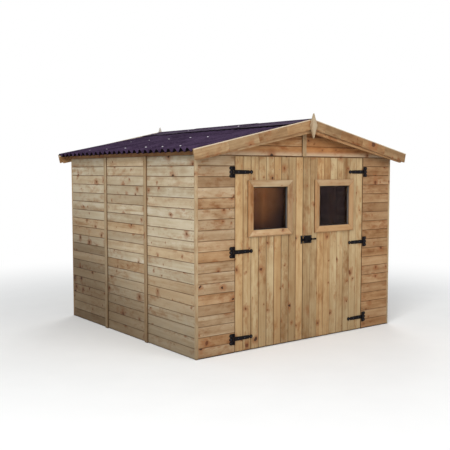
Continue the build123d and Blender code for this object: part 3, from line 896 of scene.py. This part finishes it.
# %% Matchboard
BOARD_GAP = 0.0010      # open joint between two boards
TONGUE = 0.0040         # thickness of a tongue
TONGUE_REACH = 0.0055
V_EDGE = 0.0052         # width of the planed-off face edges
TONGUE_SHADE_AND_DIRT = 0.22      # how much painted shade and dirt a joint's upper half gets, where 1 is the half below it


def tongued_board(length, cover, thickness):
    """A board in its own axes: x along it, y across it and z through it, with its face at the top."""
    bm = bmesh.new()
    add_box(bm, Matrix.Translation((length / 2, cover / 2, thickness / 2)),
            (length, cover - BOARD_GAP, thickness))
    for sign in (-1, 1):
        bmesh.ops.bisect_plane(bm, geom=everything(bm), dist=1e-6,
                               plane_co=Z * (thickness + sign * TONGUE) / 2, plane_no=Z)
    bm.normal_update()
    for sign in (1, -1):
        strip = [face for face in bm.faces if face.normal.y * sign > 0.9
                 and abs(face.calc_center_median().z - thickness / 2) < TONGUE / 2]
        pushed(bm, strip, Y * TONGUE_REACH)
        bm.normal_update()
    face_edges = [edge for edge in bm.edges
                  if all(v.co.z > thickness - 1e-6 for v in edge.verts) and edge.calc_length() > length * 0.99
                  and abs((edge.verts[1].co - edge.verts[0].co).normalized().x) > 0.99]
    bevelled(bm, face_edges, V_EDGE, segments=1)
    layers = add_layers(bm)
    # Vertices down in the joint get painted shade and dirt.
    for vert in bm.verts:
        if vert.co.z < thickness - 1e-5:
            vert[layers[2]] = 1.0 if vert.co.y < cover / 2 else TONGUE_SHADE_AND_DIRT
    return bm, layers


def laid(along, across, through, origin):
    """The matrix that lays a board's own length, width and thickness along three directions."""
    matrix = Matrix((along, across, through)).transposed().to_4x4()
    matrix.translation = origin
    return matrix


print("matchboard with tongues", TONGUE * 1000, "mm thick")

# %% [markdown]
# ## Boarded walls and gables
# The CAD slab of each wall panel says where its boards start and stop. Rows of boards fill its box from
# the ground up, and every face of the slab then saws off what stands out, which trims the top row and
# cuts the gable boards to the roof's slope.

# %% Wall boards
COVER = 0.090           # height of a row of boards


def boarded(name, node, material, out, mood=lambda middle: PLAIN):
    """Horizontal boards in place of a CAD node's slabs, with their faces towards `out`. `mood` makes a
    board's mood from the middle of its slab."""
    along = Z.cross(out)
    slabs = merged(node)
    piece = bmesh.new()
    add_layers(piece)
    for group in solids(slabs):
        low, high = corners(group)
        faces = {face.index: face for vert in group for face in vert.link_faces}
        planes = [(faces[i].calc_center_median(), faces[i].normal.copy()) for i in sorted(faces)]
        size = high - low
        length, thickness = abs(size.dot(along)), abs(size.dot(out))
        start = Vector([high[i] if along[i] + out[i] < 0 else low[i] for i in range(3)])
        for row in range(math.ceil(size.z / COVER - 1e-6)):
            board, layers = tongued_board(length, COVER, thickness)
            mark(board.verts, layers, Vector, *board_character(mood((low + high) / 2)))
            board.transform(laid(along, Z, out, start + Z * row * COVER))
            bmesh.ops.recalc_face_normals(board, faces=board.faces)
            for point, normal in planes:
                cut_off(board, point, normal)
            gather(piece, board)
    slabs.free()
    finish_piece(piece, name, "shed", material, (node,))


boarded("left_wall_boards", "left_wall_panels", side_wood, -X)
boarded("right_wall_boards", "right_wall_panels", side_wood, X)
boarded("back_wall_boards", "back_wall_panels", side_wood, Y)
boarded("front_left_boards", "front_left_panel", front_wood, -Y)
boarded("front_right_boards", "front_right_panel", front_wood, -Y, mood=lambda middle: (-0.28, 0.75))
# Painted shade: the right half of the front gable is darker and redder, as the shade it lies in.
boarded("front_gable_boards", "front_gable", gable_wood, -Y,
        mood=lambda middle: (-0.2, 0.5) if middle.x > 0 else PLAIN)
boarded("back_gable_boards", "back_gable", gable_wood, Y)

# %% [markdown]
# ## Doors
# Each door is nine upright matchboards nailed to three ledges. The boards that cross the window are sawn
# out round it. The parts of a sawn board keep one place in the log, so their grain still matches.

# %% Door boards
BOARDS_PER_DOOR = 9


def board_parts(near, far, hole, sill, lintel, height):
    """What is left of a board that reaches from `near` to `far` across a door: each part's foot and head,
    and the side of the hole that saws it, if any."""
    if far <= hole[0] or near >= hole[1]:
        return [(0.0, height, None)]
    parts = [(0.0, sill, None), (lintel, height, None)]
    if near < hole[0]:
        parts.append((sill, lintel, (hole[0], Y)))
    if far > hole[1]:
        parts.append((sill, lintel, (hole[1], -Y)))
    return parts


def door_boarding(hand, sign):
    """The boards of one door. `sign` is the direction along X from its hinges to the other door."""
    low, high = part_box(f"{hand}_door_boards")
    hole_low, hole_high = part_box(f"{hand}_window_lining")
    width, height, thickness = high.x - low.x, high.z - low.z, high.y - low.y
    cover = width / BOARDS_PER_DOOR
    hinge_edge = low.x if sign > 0 else high.x
    origin = Vector((hinge_edge, high.y, low.z))
    hole = sorted((x - hinge_edge) * sign for x in (hole_low.x, hole_high.x))
    sill, lintel = hole_low.z - low.z, hole_high.z - low.z
    piece = bmesh.new()
    add_layers(piece)
    for number in range(BOARDS_PER_DOOR):
        near, far = number * cover, (number + 1) * cover
        character = board_character()
        for start, end, saw in board_parts(near, far, hole, sill, lintel, height):
            board, layers = tongued_board(end - start, cover, thickness)
            bmesh.ops.translate(board, verts=board.verts, vec=(start, near, 0.0))
            cut_off(board, Y * width, Y)
            if saw:
                cut_off(board, Y * saw[0], saw[1])
            mark(board.verts, layers, Vector, *character)
            board.transform(laid(Z, X * sign, -Y, origin))
            gather(piece, board)
    finish_piece(piece, f"{hand}_door_matchboards", f"{hand}_door", door_wood,
                 (f"{hand}_door_boards",))


for hand, sign in SIDES:
    door_boarding(hand, sign)
    timbers(f"{hand}_ledges", f"{hand}_door", "framing", frame_wood, f"{hand}_door_ledges")

# %% [markdown]
# ## Windows
# A window is a fixed pane in a hole in the door. Outside, a mitred moulding covers the sawn boards. Its
# face falls towards the pane, as on a picture frame, so its four sides catch the light differently: the
# CAD's flat lengths get that shape by moving only the front corners of the opening. Linings cover the
# edges of the hole, painted grey as the blue sky light on their shaded faces.

# %% Window mouldings, linings and panes
MOULDING_FALL = 0.008   # how much thinner a moulding is at the pane
INNER_CORNER = 0.03     # corners further in than this belong to the opening
MITRE_GAP = 0.0012      # open joint at each corner


def moulding_mood(hand, middle, half):
    """The left upright is darker and redder, partly its own tone and partly painted shade. The left door
    has a pale bottom rail, the right a red one.
    """
    def mood(place):
        # Partly painted shade: the left upright is made darker and redder on both doors.
        if place.x < middle.x - half.x / 2:
            return (-0.60, 0.85)
        if place.z < middle.z - half.z / 2:
            return (0.10, -0.30) if hand == "left" else (-0.25, 0.60)
        return (-0.15, 0.10)
    return mood


def moulding(hand):
    node = f"{hand}_window_frame"
    bm = merged(node)
    low, high = corners(bm.verts)
    middle, half = (low + high) / 2, (high - low) / 2
    rim = [vert for vert in bm.verts if vert.co.y < low.y + 1e-4
           and abs(vert.co.x - middle.x) < half.x - INNER_CORNER
           and abs(vert.co.z - middle.z) < half.z - INNER_CORNER]
    bmesh.ops.translate(bm, verts=rim, vec=Y * MOULDING_FALL)
    for group in solids(bm):
        side_low, side_high = corners(group)
        size = side_high - side_low
        shorter = [1.0 - MITRE_GAP / length if length == max(size) else 1.0 for length in size]
        bmesh.ops.scale(bm, verts=group, vec=shorter,
                        space=Matrix.Translation(-(side_low + side_high) / 2))
    dressed(bm, f"{hand}_window_moulding", f"{hand}_door", "window_moulding", moulding_wood, (node,),
            rounding=0.002, mood=moulding_mood(hand, middle, half), grime=0.4)


for hand, _ in SIDES:
    moulding(hand)
    timbers(f"{hand}_window_boards", f"{hand}_door", "window_moulding", sky_lit_lining_wood,
            f"{hand}_window_lining", rounding=0.0008)
    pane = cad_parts[f"{hand}_window_glass"].data
    pane.materials.clear()
    pane.materials.append(glass)

# %% [markdown]
# A bead of black sealant runs round each pane, and battens hold it from indoors. The bead starts as a
# flat sheet over the opening. An inset leaves a ring, the ring is raised to the bead's depth, and its
# inner rim is pushed back towards the pane, which gives the slope that a wet finger leaves.

# %% Sealant
LINING = 0.010          # thickness of the linings
BEAD = 0.008            # width of the sealant on the pane
BEAD_DEPTH = 0.006      # and along the lining
BEAD_SLOPE = 0.8        # how much of that depth is gone at its inner rim


def opening(hand):
    """Middle and half sizes of the hole between the linings."""
    low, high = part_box(f"{hand}_window_lining")
    return (low + high) / 2, (high - low) / 2 - Vector((LINING, 0.0, LINING))


def sealant_bead(hand):
    middle, half = opening(hand)
    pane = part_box(f"{hand}_window_glass")[0].y
    centre = Matrix.Translation((middle.x, pane, middle.z)) @ Matrix.Rotation(math.radians(90), 4, "X")
    bm = bmesh.new()
    bmesh.ops.create_grid(bm, x_segments=1, y_segments=1, size=1.0,
                          matrix=centre @ Matrix.Diagonal((half.x, half.z, 1.0, 1.0)))
    ring = bmesh.ops.inset_region(bm, faces=bm.faces[:], thickness=BEAD, use_boundary=True,
                                  use_even_offset=True)["faces"]
    bmesh.ops.delete(bm, geom=[face for face in bm.faces if face not in ring], context="FACES_ONLY")
    front = just_verts(bmesh.ops.extrude_face_region(bm, geom=bm.faces[:])["geom"])
    bmesh.ops.translate(bm, verts=front, vec=-Y * BEAD_DEPTH)
    inner = [vert for vert in front if abs(vert.co.x - middle.x) < half.x - BEAD / 2
             and abs(vert.co.z - middle.z) < half.z - BEAD / 2]
    bmesh.ops.translate(bm, verts=inner, vec=Y * BEAD_DEPTH * BEAD_SLOPE)
    finish_piece(bm, f"{hand}_window_sealant", f"{hand}_door", sealant)


print("sealant", BEAD * 1000, "mm wide")

# %% [markdown]
# Indoors a thin stop stands behind the pane's edge, and a batten round it covers the sawn boards. Both
# are four plain lengths round an opening, so one helper makes them.

# %% Pane battens
STOP_LAP = 0.002        # how far a stop reaches past the lining, over the pane
BATTEN = 0.034          # width of a batten
BATTEN_DEPTH = 0.018
BATTEN_GAP = 0.0005     # between a batten and the lining


def stick_frame(bm, middle, inner, outer, back, front):
    """Four plain lengths round an opening: two uprights, and two rails between them."""
    for sign in (-1, 1):
        upright = (middle.x + sign * (inner.x + outer.x) / 2, middle.z, outer.x - inner.x, outer.z * 2)
        rail = (middle.x, middle.z + sign * (inner.z + outer.z) / 2, inner.x * 2, outer.z - inner.z)
        for x, z, width, height in (upright, rail):
            add_box(bm, Matrix.Translation((x, (back + front) / 2, z)), (width, back - front, height))


def pane_battens(hand):
    middle, half = opening(hand)
    pane_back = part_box(f"{hand}_window_glass")[1].y
    boards_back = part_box(f"{hand}_door_boards")[1].y
    back = boards_back + BATTEN_DEPTH
    hole = half + Vector((LINING + BATTEN_GAP, 0.0, LINING + BATTEN_GAP))
    bm = bmesh.new()
    stick_frame(bm, middle, half - Vector((STOP_LAP, 0.0, STOP_LAP)), hole, back, pane_back)
    stick_frame(bm, middle, hole, hole + Vector((BATTEN, 0.0, BATTEN)), back, boards_back)
    bm.normal_update()
    dressed(bm, f"{hand}_pane_battens", f"{hand}_door", "framing", frame_wood, rounding=0.001)


for hand, _ in SIDES:
    sealant_bead(hand)
    pane_battens(hand)

# %% [markdown]
# ## Roof
# The corrugated sheets keep the CAD's shape, but a real roof is laid in lengths that lap. Here the CAD's
# whole roof is copied and cut three times, and the middle length is lifted by a sheet's thickness, over
# its neighbours. Merged triangles let the waves shade smoothly, and edges sharper than thirty degrees
# are marked, so that the sheets' rims stay crisp. Faces that don't look up, below and at the cut edges,
# are marked to be painted nearly black as shade.

# %% Roof sheets
WAVES = 27              # waves from the front of the roof to the back
SHEET_WAVES = 9         # waves that one sheet covers
LAP = 0.0032            # how far the middle length stands over its neighbours
LOOKS_UP = 0.3          # a face whose normal rises less than this is painted as shade
WAVE = (roof_high.y - roof_low.y) / WAVES
MIDDLE_SHEET_END = WAVE * (SHEET_WAVES + 1) / 2
OUTER_SHEET_START = WAVE * (SHEET_WAVES - 1) / 2


def smooth_shaded(bm, sharp):
    """Smooth shading, apart from edges sharper than `sharp` degrees."""
    bmesh.ops.recalc_face_normals(bm, faces=bm.faces)
    for face in bm.faces:
        face.smooth = True
    for edge in bm.edges:
        edge.smooth = edge.is_manifold and edge.calc_face_angle(0.0) < math.radians(sharp)


def in_three_lengths(name, node, middle_end, outer_start):
    """A roof node as three lengths along Y. The middle one reaches `middle_end`, over the outer two."""
    low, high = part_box(node)
    roof = bmesh.new()
    for start, stop, lift in ((low.y, -outer_start, 0.0), (outer_start, high.y, 0.0),
                              (-middle_end, middle_end, LAP)):
        length = merged(node)
        cut_off(length, Y * start, -Y)
        cut_off(length, Y * stop, Y)
        bmesh.ops.translate(length, verts=length.verts, vec=Z * lift)
        gather(roof, length)
    smooth_shaded(roof, 30.0)
    roof.normal_update()
    shaded_below = roof.faces.layers.float.new("shaded_below")
    for face in roof.faces:
        face[shaded_below] = 1.0 if face.normal.z < LOOKS_UP else 0.0
    return finish_piece(roof, name, "shed", roof_material, (node,))


for hand, _ in SIDES:
    in_three_lengths(f"{hand}_corrugated_sheets", f"{hand}_roof_sheets", MIDDLE_SHEET_END,
                     OUTER_SHEET_START)

# %% [markdown]
# ## Ridge cap
# The cap rests on strips of black foam, which fill the waves under it and keep rain and birds out. So it
# stands a little off the sheets, and a dark line shows along its edges. The nails have pressed the foam
# nearly flat at the back. The cap's roll is flattened by moving each corner down, most in the middle.

# %% Ridge cap and its foam
CAP_MIDDLE_END = 0.520
CAP_OUTER_START = 0.478
FOAM_FRONT = 0.008      # the foam lifts the cap by this much at the front
FOAM_BACK = 0.001       # the same at the back
FOAM_INSET = 0.045      # from the cap's edge to the middle of the foam
FOAM_END = 0.005        # from the cap's end to the foam's
FOAM_WIDTH, FOAM_HEIGHT = 0.030, 0.034
ROLL_HALF = 0.060       # the rounded part of the cap, from its middle
ROLL_FLATTENED = 0.010
cap_low, cap_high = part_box("ridge_cap")


def foam_lift(y):
    """How much the foam lifts the cap, `y` along the ridge."""
    return FOAM_FRONT + (FOAM_BACK - FOAM_FRONT) * (y - cap_low.y) / (cap_high.y - cap_low.y)


def ridge_capping():
    piece = in_three_lengths("ridge_capping", "ridge_cap", CAP_MIDDLE_END, CAP_OUTER_START)
    for vert in piece.data.vertices:
        flattened = ROLL_FLATTENED * max(0.0, 1.0 - (vert.co.x / ROLL_HALF) ** 2)
        vert.co.z += foam_lift(vert.co.y) - flattened


def ridge_foam():
    """A bar on each slope, sunk into the waves of the sheets, and set back from the cap's edge."""
    bm = bmesh.new()
    level = cap_low.z + FOAM_INSET * math.tan(ROOF_SLOPE) - FOAM_HEIGHT / 2
    for sign in (-1, 1):
        place = Matrix.Translation((sign * (cap_high.x - FOAM_INSET), 0.0, level))
        add_box(bm, place @ Matrix.Rotation(sign * ROOF_SLOPE, 4, "Y"),
                (FOAM_WIDTH, 2 * (cap_high.y - FOAM_END), FOAM_HEIGHT))
    for vert in bm.verts:
        vert.co.z += foam_lift(vert.co.y)
    finish_piece(bm, "ridge_foam", "shed", sealant)


ridge_capping()
ridge_foam()

# %% [markdown]
# ## Ironwork
# The strap hinges and the pad bolt keep the CAD's shape too, because a door has to turn on them. A live
# Bevel modifier takes the sharpness off their edges, so that they catch a thin line of light.

# %% Hinges and bolt
WORN_EDGE = 0.0006


def ironwork(name, body, node):
    bm = merged(node)
    smooth_shaded(bm, 25.0)
    piece = finish_piece(bm, name, body, black_iron, (node,))
    bevel = piece.modifiers.new("worn edges", "BEVEL")
    bevel.width = WORN_EDGE
    bevel.segments = 2
    bevel.limit_method = "ANGLE"
    bevel.angle_limit = math.radians(35.0)


for hand, _ in SIDES:
    ironwork(f"{hand}_wall_plates", "shed", f"{hand}_hinge_plates")
    ironwork(f"{hand}_straps", f"{hand}_door", f"{hand}_hinge_straps")
ironwork("bolt_keeper", "left_door", "latch_keeper")
ironwork("bolt_plate", "right_door", "latch_plate")
ironwork("bolt_rod", "door_bolt", "latch_bolt")

# %% [markdown]
# ## Nails and screws
# A nail head is only a few millimetres across, and there are over a thousand, so it is a low cone with
# eight sides. One small mesh is made and stamped wherever a nail goes. The screws in the ironwork are
# larger and fewer, so they get a domed head with a cross cut into it.


# %% Stamping small shapes
def stamped(name, body, material, shape, places):
    """One piece made of a small shape at many places, each a point and a direction."""
    piece = bmesh.new()
    for point, normal in places:
        turned = normal.to_track_quat("Z", "Y").to_matrix().to_4x4()
        turned.translation = point
        copy = shape.copy()
        copy.transform(turned)
        piece.from_mesh(copy)
        bpy.data.meshes.remove(copy)
    finish_piece(piece, name, body, material)


def low_cone(sides, radius, top_radius, height):
    bm = bmesh.new()
    bmesh.ops.create_cone(bm, cap_ends=True, segments=sides, radius1=radius, radius2=top_radius,
                          depth=height, matrix=Matrix.Translation((0, 0, height / 2)))
    return bm


def nail_head(radius=0.0032, height=0.0009):
    return to_mesh(low_cone(8, radius, radius * 0.75, height), "nail head")


NAIL = nail_head()
print("nail head with", len(NAIL.polygons), "faces")

# %% [markdown]
# The screw's cross is cut by four planes, two on each side of both middle lines. They divide the top of
# the head into nine faces, and the five that lie on a middle line are pushed in.


# %% Screw head
def screw_head(radius=0.0042, height=0.0018, slot=0.0011):
    bm = low_cone(16, radius, radius, height)
    bevelled(bm, [edge for edge in bm.edges if all(v.co.z > height * 0.99 for v in edge.verts)],
             radius * 0.35)
    for direction in (X, Y):
        for sign in (-1, 1):
            top = [face for face in bm.faces if face.calc_center_median().z > height * 0.999]
            near = top + list(dict.fromkeys(part for face in top for part in face.edges[:] + face.verts[:]))
            bmesh.ops.bisect_plane(bm, geom=near, dist=1e-7, plane_co=direction * sign * slot / 2,
                                   plane_no=direction)
    bm.normal_update()
    cross = []
    for face in bm.faces:
        middle = face.calc_center_median()
        if middle.z > height * 0.999 and min(abs(middle.x), abs(middle.y)) < slot / 2:
            cross.append(face)
    pushed(bm, cross, -Z * height * 0.45)
    return to_mesh(bm, "screw head")


SCREW = screw_head()
print("screw head with", len(SCREW.polygons), "faces")

# %% [markdown]
# Two nails hold each wall board to each stud behind it. The studs' boxes come from the CAD, so the nails
# follow them if the walls change size. Where a cover strip hides the stud's middle, the nails stand
# beside it.

# %% Nails in the walls
NAILS_UP = (0.022, 0.068)       # heights of a board's two nails, above its lower edge
OFF_STRIP = 0.011               # how far nails stand off the middle of a stud at a panel's end
PANEL_END = 0.05                # a stud further than this from the panel's middle is at its end


def wall_nails(name, node, out):
    along = Z.cross(out)
    places = []
    for low, high in solid_boxes(node):
        face = max(low.dot(out), high.dot(out))
        back = min(low.dot(out), high.dot(out))
        span = sorted((low.dot(along), high.dot(along)))
        for stud_low, stud_high in solid_boxes("wall_studs"):
            at = (stud_low + stud_high).dot(along) / 2
            touches = abs(max(stud_low.dot(out), stud_high.dot(out)) - back) <= 0.001
            if not touches or not span[0] < at < span[1]:
                continue
            inwards = sum(span) / 2 - at
            if abs(inwards) > PANEL_END:
                at += math.copysign(OFF_STRIP, inwards)
            for row in range(math.floor((high.z - low.z) / COVER + 0.01)):
                for up in NAILS_UP:
                    places.append((out * face + along * at + Z * (row * COVER + up), out))
    stamped(name, "shed", nail_steel, NAIL, places)


wall_nails("left_wall_nails", "left_wall_panels", -X)
wall_nails("right_wall_nails", "right_wall_panels", X)
wall_nails("back_wall_nails", "back_wall_panels", Y)
wall_nails("front_left_nails", "front_left_panel", -Y)
wall_nails("front_right_nails", "front_right_panel", -Y)

# %% [markdown]
# The cover strips get one evenly spaced row of nails each, and the bargeboards pairs of nails up their
# slope, square to it.

# %% Nails in the strips and bargeboards
STRIP_NAILS = 7
STRIP_END = 0.06                # from a strip's end to its first nail
BARGE_PAIRS = 5
BARGE_FIRST, BARGE_STEP = 0.07, 0.28
BARGE_HALF = 0.045              # half a bargeboard's width
PLUMB_END = 0.088               # height of a bargeboard's plumb-cut end
PAIR_HALF = 0.022               # from a bargeboard's middle to either nail


def strip_nails():
    places = []
    for low, high in solid_boxes("wall_cover_strips"):
        middle = (low + high) / 2
        out = X * math.copysign(1, middle.x) if high.x - low.x < high.y - low.y else Y
        face = max(abs(low.dot(out)), abs(high.dot(out)))
        for number in range(STRIP_NAILS):
            up = low.z + STRIP_END + (high.z - low.z - 2 * STRIP_END) * number / (STRIP_NAILS - 1)
            point = out * face + (Vector((middle.x, middle.y, up)) - out * middle.dot(out))
            places.append((point, out))
    stamped("strip_nails", "shed", nail_steel, NAIL, places)


def bargeboard_nails():
    places = []
    for end, out in (("front", -Y), ("back", Y)):
        for hand, inwards in SIDES:
            low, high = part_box(f"{end}_{hand}_bargeboard")
            rise = X * inwards * (high.x - low.x) + Z * (high.z - low.z - 2 * BARGE_HALF)
            slope = rise.normalized()
            square = slope.cross(out) if slope.cross(out).z > 0 else out.cross(slope)
            face = max(abs(low.y), abs(high.y))
            foot = Vector((low.x if inwards > 0 else high.x, out.y * face, low.z + PLUMB_END))
            for number in range(BARGE_PAIRS):
                for across in (-PAIR_HALF, PAIR_HALF):
                    up = slope * (BARGE_FIRST + BARGE_STEP * number)
                    point = foot - square * BARGE_HALF + up + square * across
                    places.append((Vector((point.x, out.y * face, point.z)), out))
    stamped("bargeboard_nails", "shed", nail_steel, NAIL, places)


strip_nails()
bargeboard_nails()

# %% [markdown]
# Two nails go through each door board into each ledge, one up and one down, so that the board can't
# twist. Near the hinges they stand further apart, clear of the straps.

# %% Nails in the doors
NAIL_ACROSS, NAIL_UP = 0.020, 0.022     # from the middle of a board, and of a ledge
STRAP_REACH = 0.20                      # the straps reach about this far from the hinges
CLEAR_OF_STRAP = 1.4                    # how much further apart the nails stand there


def door_nails(hand, sign):
    low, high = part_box(f"{hand}_door_boards")
    cover = (high.x - low.x) / BOARDS_PER_DOOR
    hinge_edge = abs(high.x if sign < 0 else low.x)
    places = []
    for ledge_low, ledge_high in solid_boxes(f"{hand}_door_ledges"):
        level = (ledge_low.z + ledge_high.z) / 2
        for number in range(BOARDS_PER_DOOR):
            for way in (-1, 1):
                x = low.x + (number + 0.5) * cover + way * NAIL_ACROSS
                near_strap = abs(x) > hinge_edge - STRAP_REACH
                up = way * NAIL_UP * (CLEAR_OF_STRAP if near_strap else 1.0)
                places.append(((x, low.y, level + up), -Y))
    stamped(f"{hand}_door_nails", f"{hand}_door", nail_steel, NAIL, places)


print(BOARDS_PER_DOOR * 2, "nails in each ledge")

# %% [markdown]
# A screw goes into the middle of each of a hinge plate's three lobes, three more along each strap, four
# into the corners of the bolt's plate, and two into its keeper.

# %% Screws in the ironwork
PLATE, STRAP = 0.003, 0.004             # thickness of the hinge and bolt plates, and of the straps
LOBE = 0.016                            # from a hinge plate's outer edge to its screws
LOBE_STEP = 0.033                       # from one lobe to the next
STRAP_SCREWS = (0.017, 0.088, 0.158)    # from a strap's tip
BOLT_SCREW_IN, BOLT_SCREW_UP = 0.009, 0.027
KEEPER_SCREW_UP = 0.028
front_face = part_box("left_door_boards")[0].y


def hinge_screws(hand, sign):
    plates, straps = [], []
    for low, high in solid_boxes(f"{hand}_hinge_plates"):
        outer = low.x if sign > 0 else high.x
        level = (low.z + high.z) / 2
        for step in (-1, 0, 1):
            plates.append(((outer + sign * LOBE, front_face - PLATE, level + step * LOBE_STEP), -Y))
    for low, high in solid_boxes(f"{hand}_hinge_straps"):
        tip = high.x if sign > 0 else low.x
        level = (low.z + high.z) / 2
        for back in STRAP_SCREWS:
            straps.append(((tip - sign * back, front_face - STRAP, level), -Y))
    stamped(f"{hand}_plate_screws", "shed", screw_steel, SCREW, plates)
    stamped(f"{hand}_strap_screws", f"{hand}_door", screw_steel, SCREW, straps)


def latch_screws(name, body, node, columns, up):
    """Screws in pairs, one above and one below the middle, at each of some places along X."""
    low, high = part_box(node)
    middle = (low.z + high.z) / 2
    places = [((x, front_face - PLATE, middle + way * up), -Y) for x in columns for way in (-1, 1)]
    stamped(name, body, screw_steel, SCREW, places)


for hand, sign in SIDES:
    door_nails(hand, sign)
    hinge_screws(hand, sign)
plate_low, plate_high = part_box("latch_plate")
latch_screws("bolt_plate_screws", "right_door", "latch_plate",
             (plate_low.x + BOLT_SCREW_IN, plate_high.x - BOLT_SCREW_IN), BOLT_SCREW_UP)
keeper_low, keeper_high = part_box("latch_keeper")
latch_screws("keeper_screws", "left_door", "latch_keeper", ((keeper_low.x + keeper_high.x) / 2,),
             KEEPER_SCREW_UP)

# %% [markdown]
# ## Roofing nails
# Corrugated sheet is nailed through its crests, into the purlins, with big-headed nails under domed
# plastic caps. A cap is the top half of a ball, squashed. A row goes along each purlin, on every third
# or fourth wave.

# %% Roofing nails
EAVES_NAILS = (1, 5, 9, 13, 17, 20, 23)     # nailed waves, counted from the back of the roof
MIDDLE_NAILS = (5, 9, 13, 17, 20)
RIDGE_NAILS = (-0.42, 0.46, cap_high.y - 0.06)
RIDGE_NAIL_OUT = 0.165                      # from the ridge
CAP_TOP = 0.0066                            # from the ridge cap's lower edge up to its face
SUNK = 0.0005                               # how far a nail's cap is pressed into a crest
CREST = 0.25                                # place of a wave's crest, in waves


def domed_cap(radius=0.0090, height=0.0070):
    bm = bmesh.new()
    bmesh.ops.create_uvsphere(bm, u_segments=12, v_segments=8, radius=radius)
    bmesh.ops.bisect_plane(bm, geom=everything(bm), dist=1e-6, plane_co=(0, 0, 0), plane_no=-Z,
                           clear_outer=True)
    bmesh.ops.edgeloop_fill(bm, edges=[edge for edge in bm.edges if edge.is_boundary])
    bmesh.ops.scale(bm, verts=bm.verts, vec=(1.0, 1.0, height / radius))
    for face in bm.faces:
        face.smooth = face.normal.z > -0.5
    return to_mesh(bm, "domed cap")


def cap_pair(across, y, level, lapped):
    """Two nail caps, one on each slope, `across` from the ridge, and higher up within `lapped`."""
    height = level + (LAP if abs(y) < lapped else 0.0)
    return [((sign * across, y, height), Vector((sign * math.sin(ROOF_SLOPE), 0.0, math.cos(ROOF_SLOPE))))
            for sign in (-1, 1)]


def purlin_nails():
    """Caps on the crests over the eaves purlins and the middle purlins."""
    places = []
    for node, waves in (("eaves_purlins", EAVES_NAILS), ("middle_purlins", MIDDLE_NAILS)):
        low, high = solid_boxes(node)[-1]
        across = (low.x + high.x) / 2
        level = roof_high.z - (across + roof_high.x) * math.tan(ROOF_SLOPE) - SUNK
        for number in waves:
            places += cap_pair(across, roof_high.y - WAVE * (CREST + number), level, MIDDLE_SHEET_END)
    return places


def ridge_nails():
    """A few caps on the ridge cap."""
    level = cap_low.z + (cap_high.x - RIDGE_NAIL_OUT) * math.tan(ROOF_SLOPE) + CAP_TOP
    places = []
    for y in RIDGE_NAILS:
        places += cap_pair(RIDGE_NAIL_OUT, y, level + foam_lift(y), CAP_MIDDLE_END)
    return places


DOME = domed_cap()
stamped("roofing_nail_caps", "shed", cap_plastic, DOME, purlin_nails())
stamped("ridge_nail_caps", "shed", cap_plastic, DOME, ridge_nails())
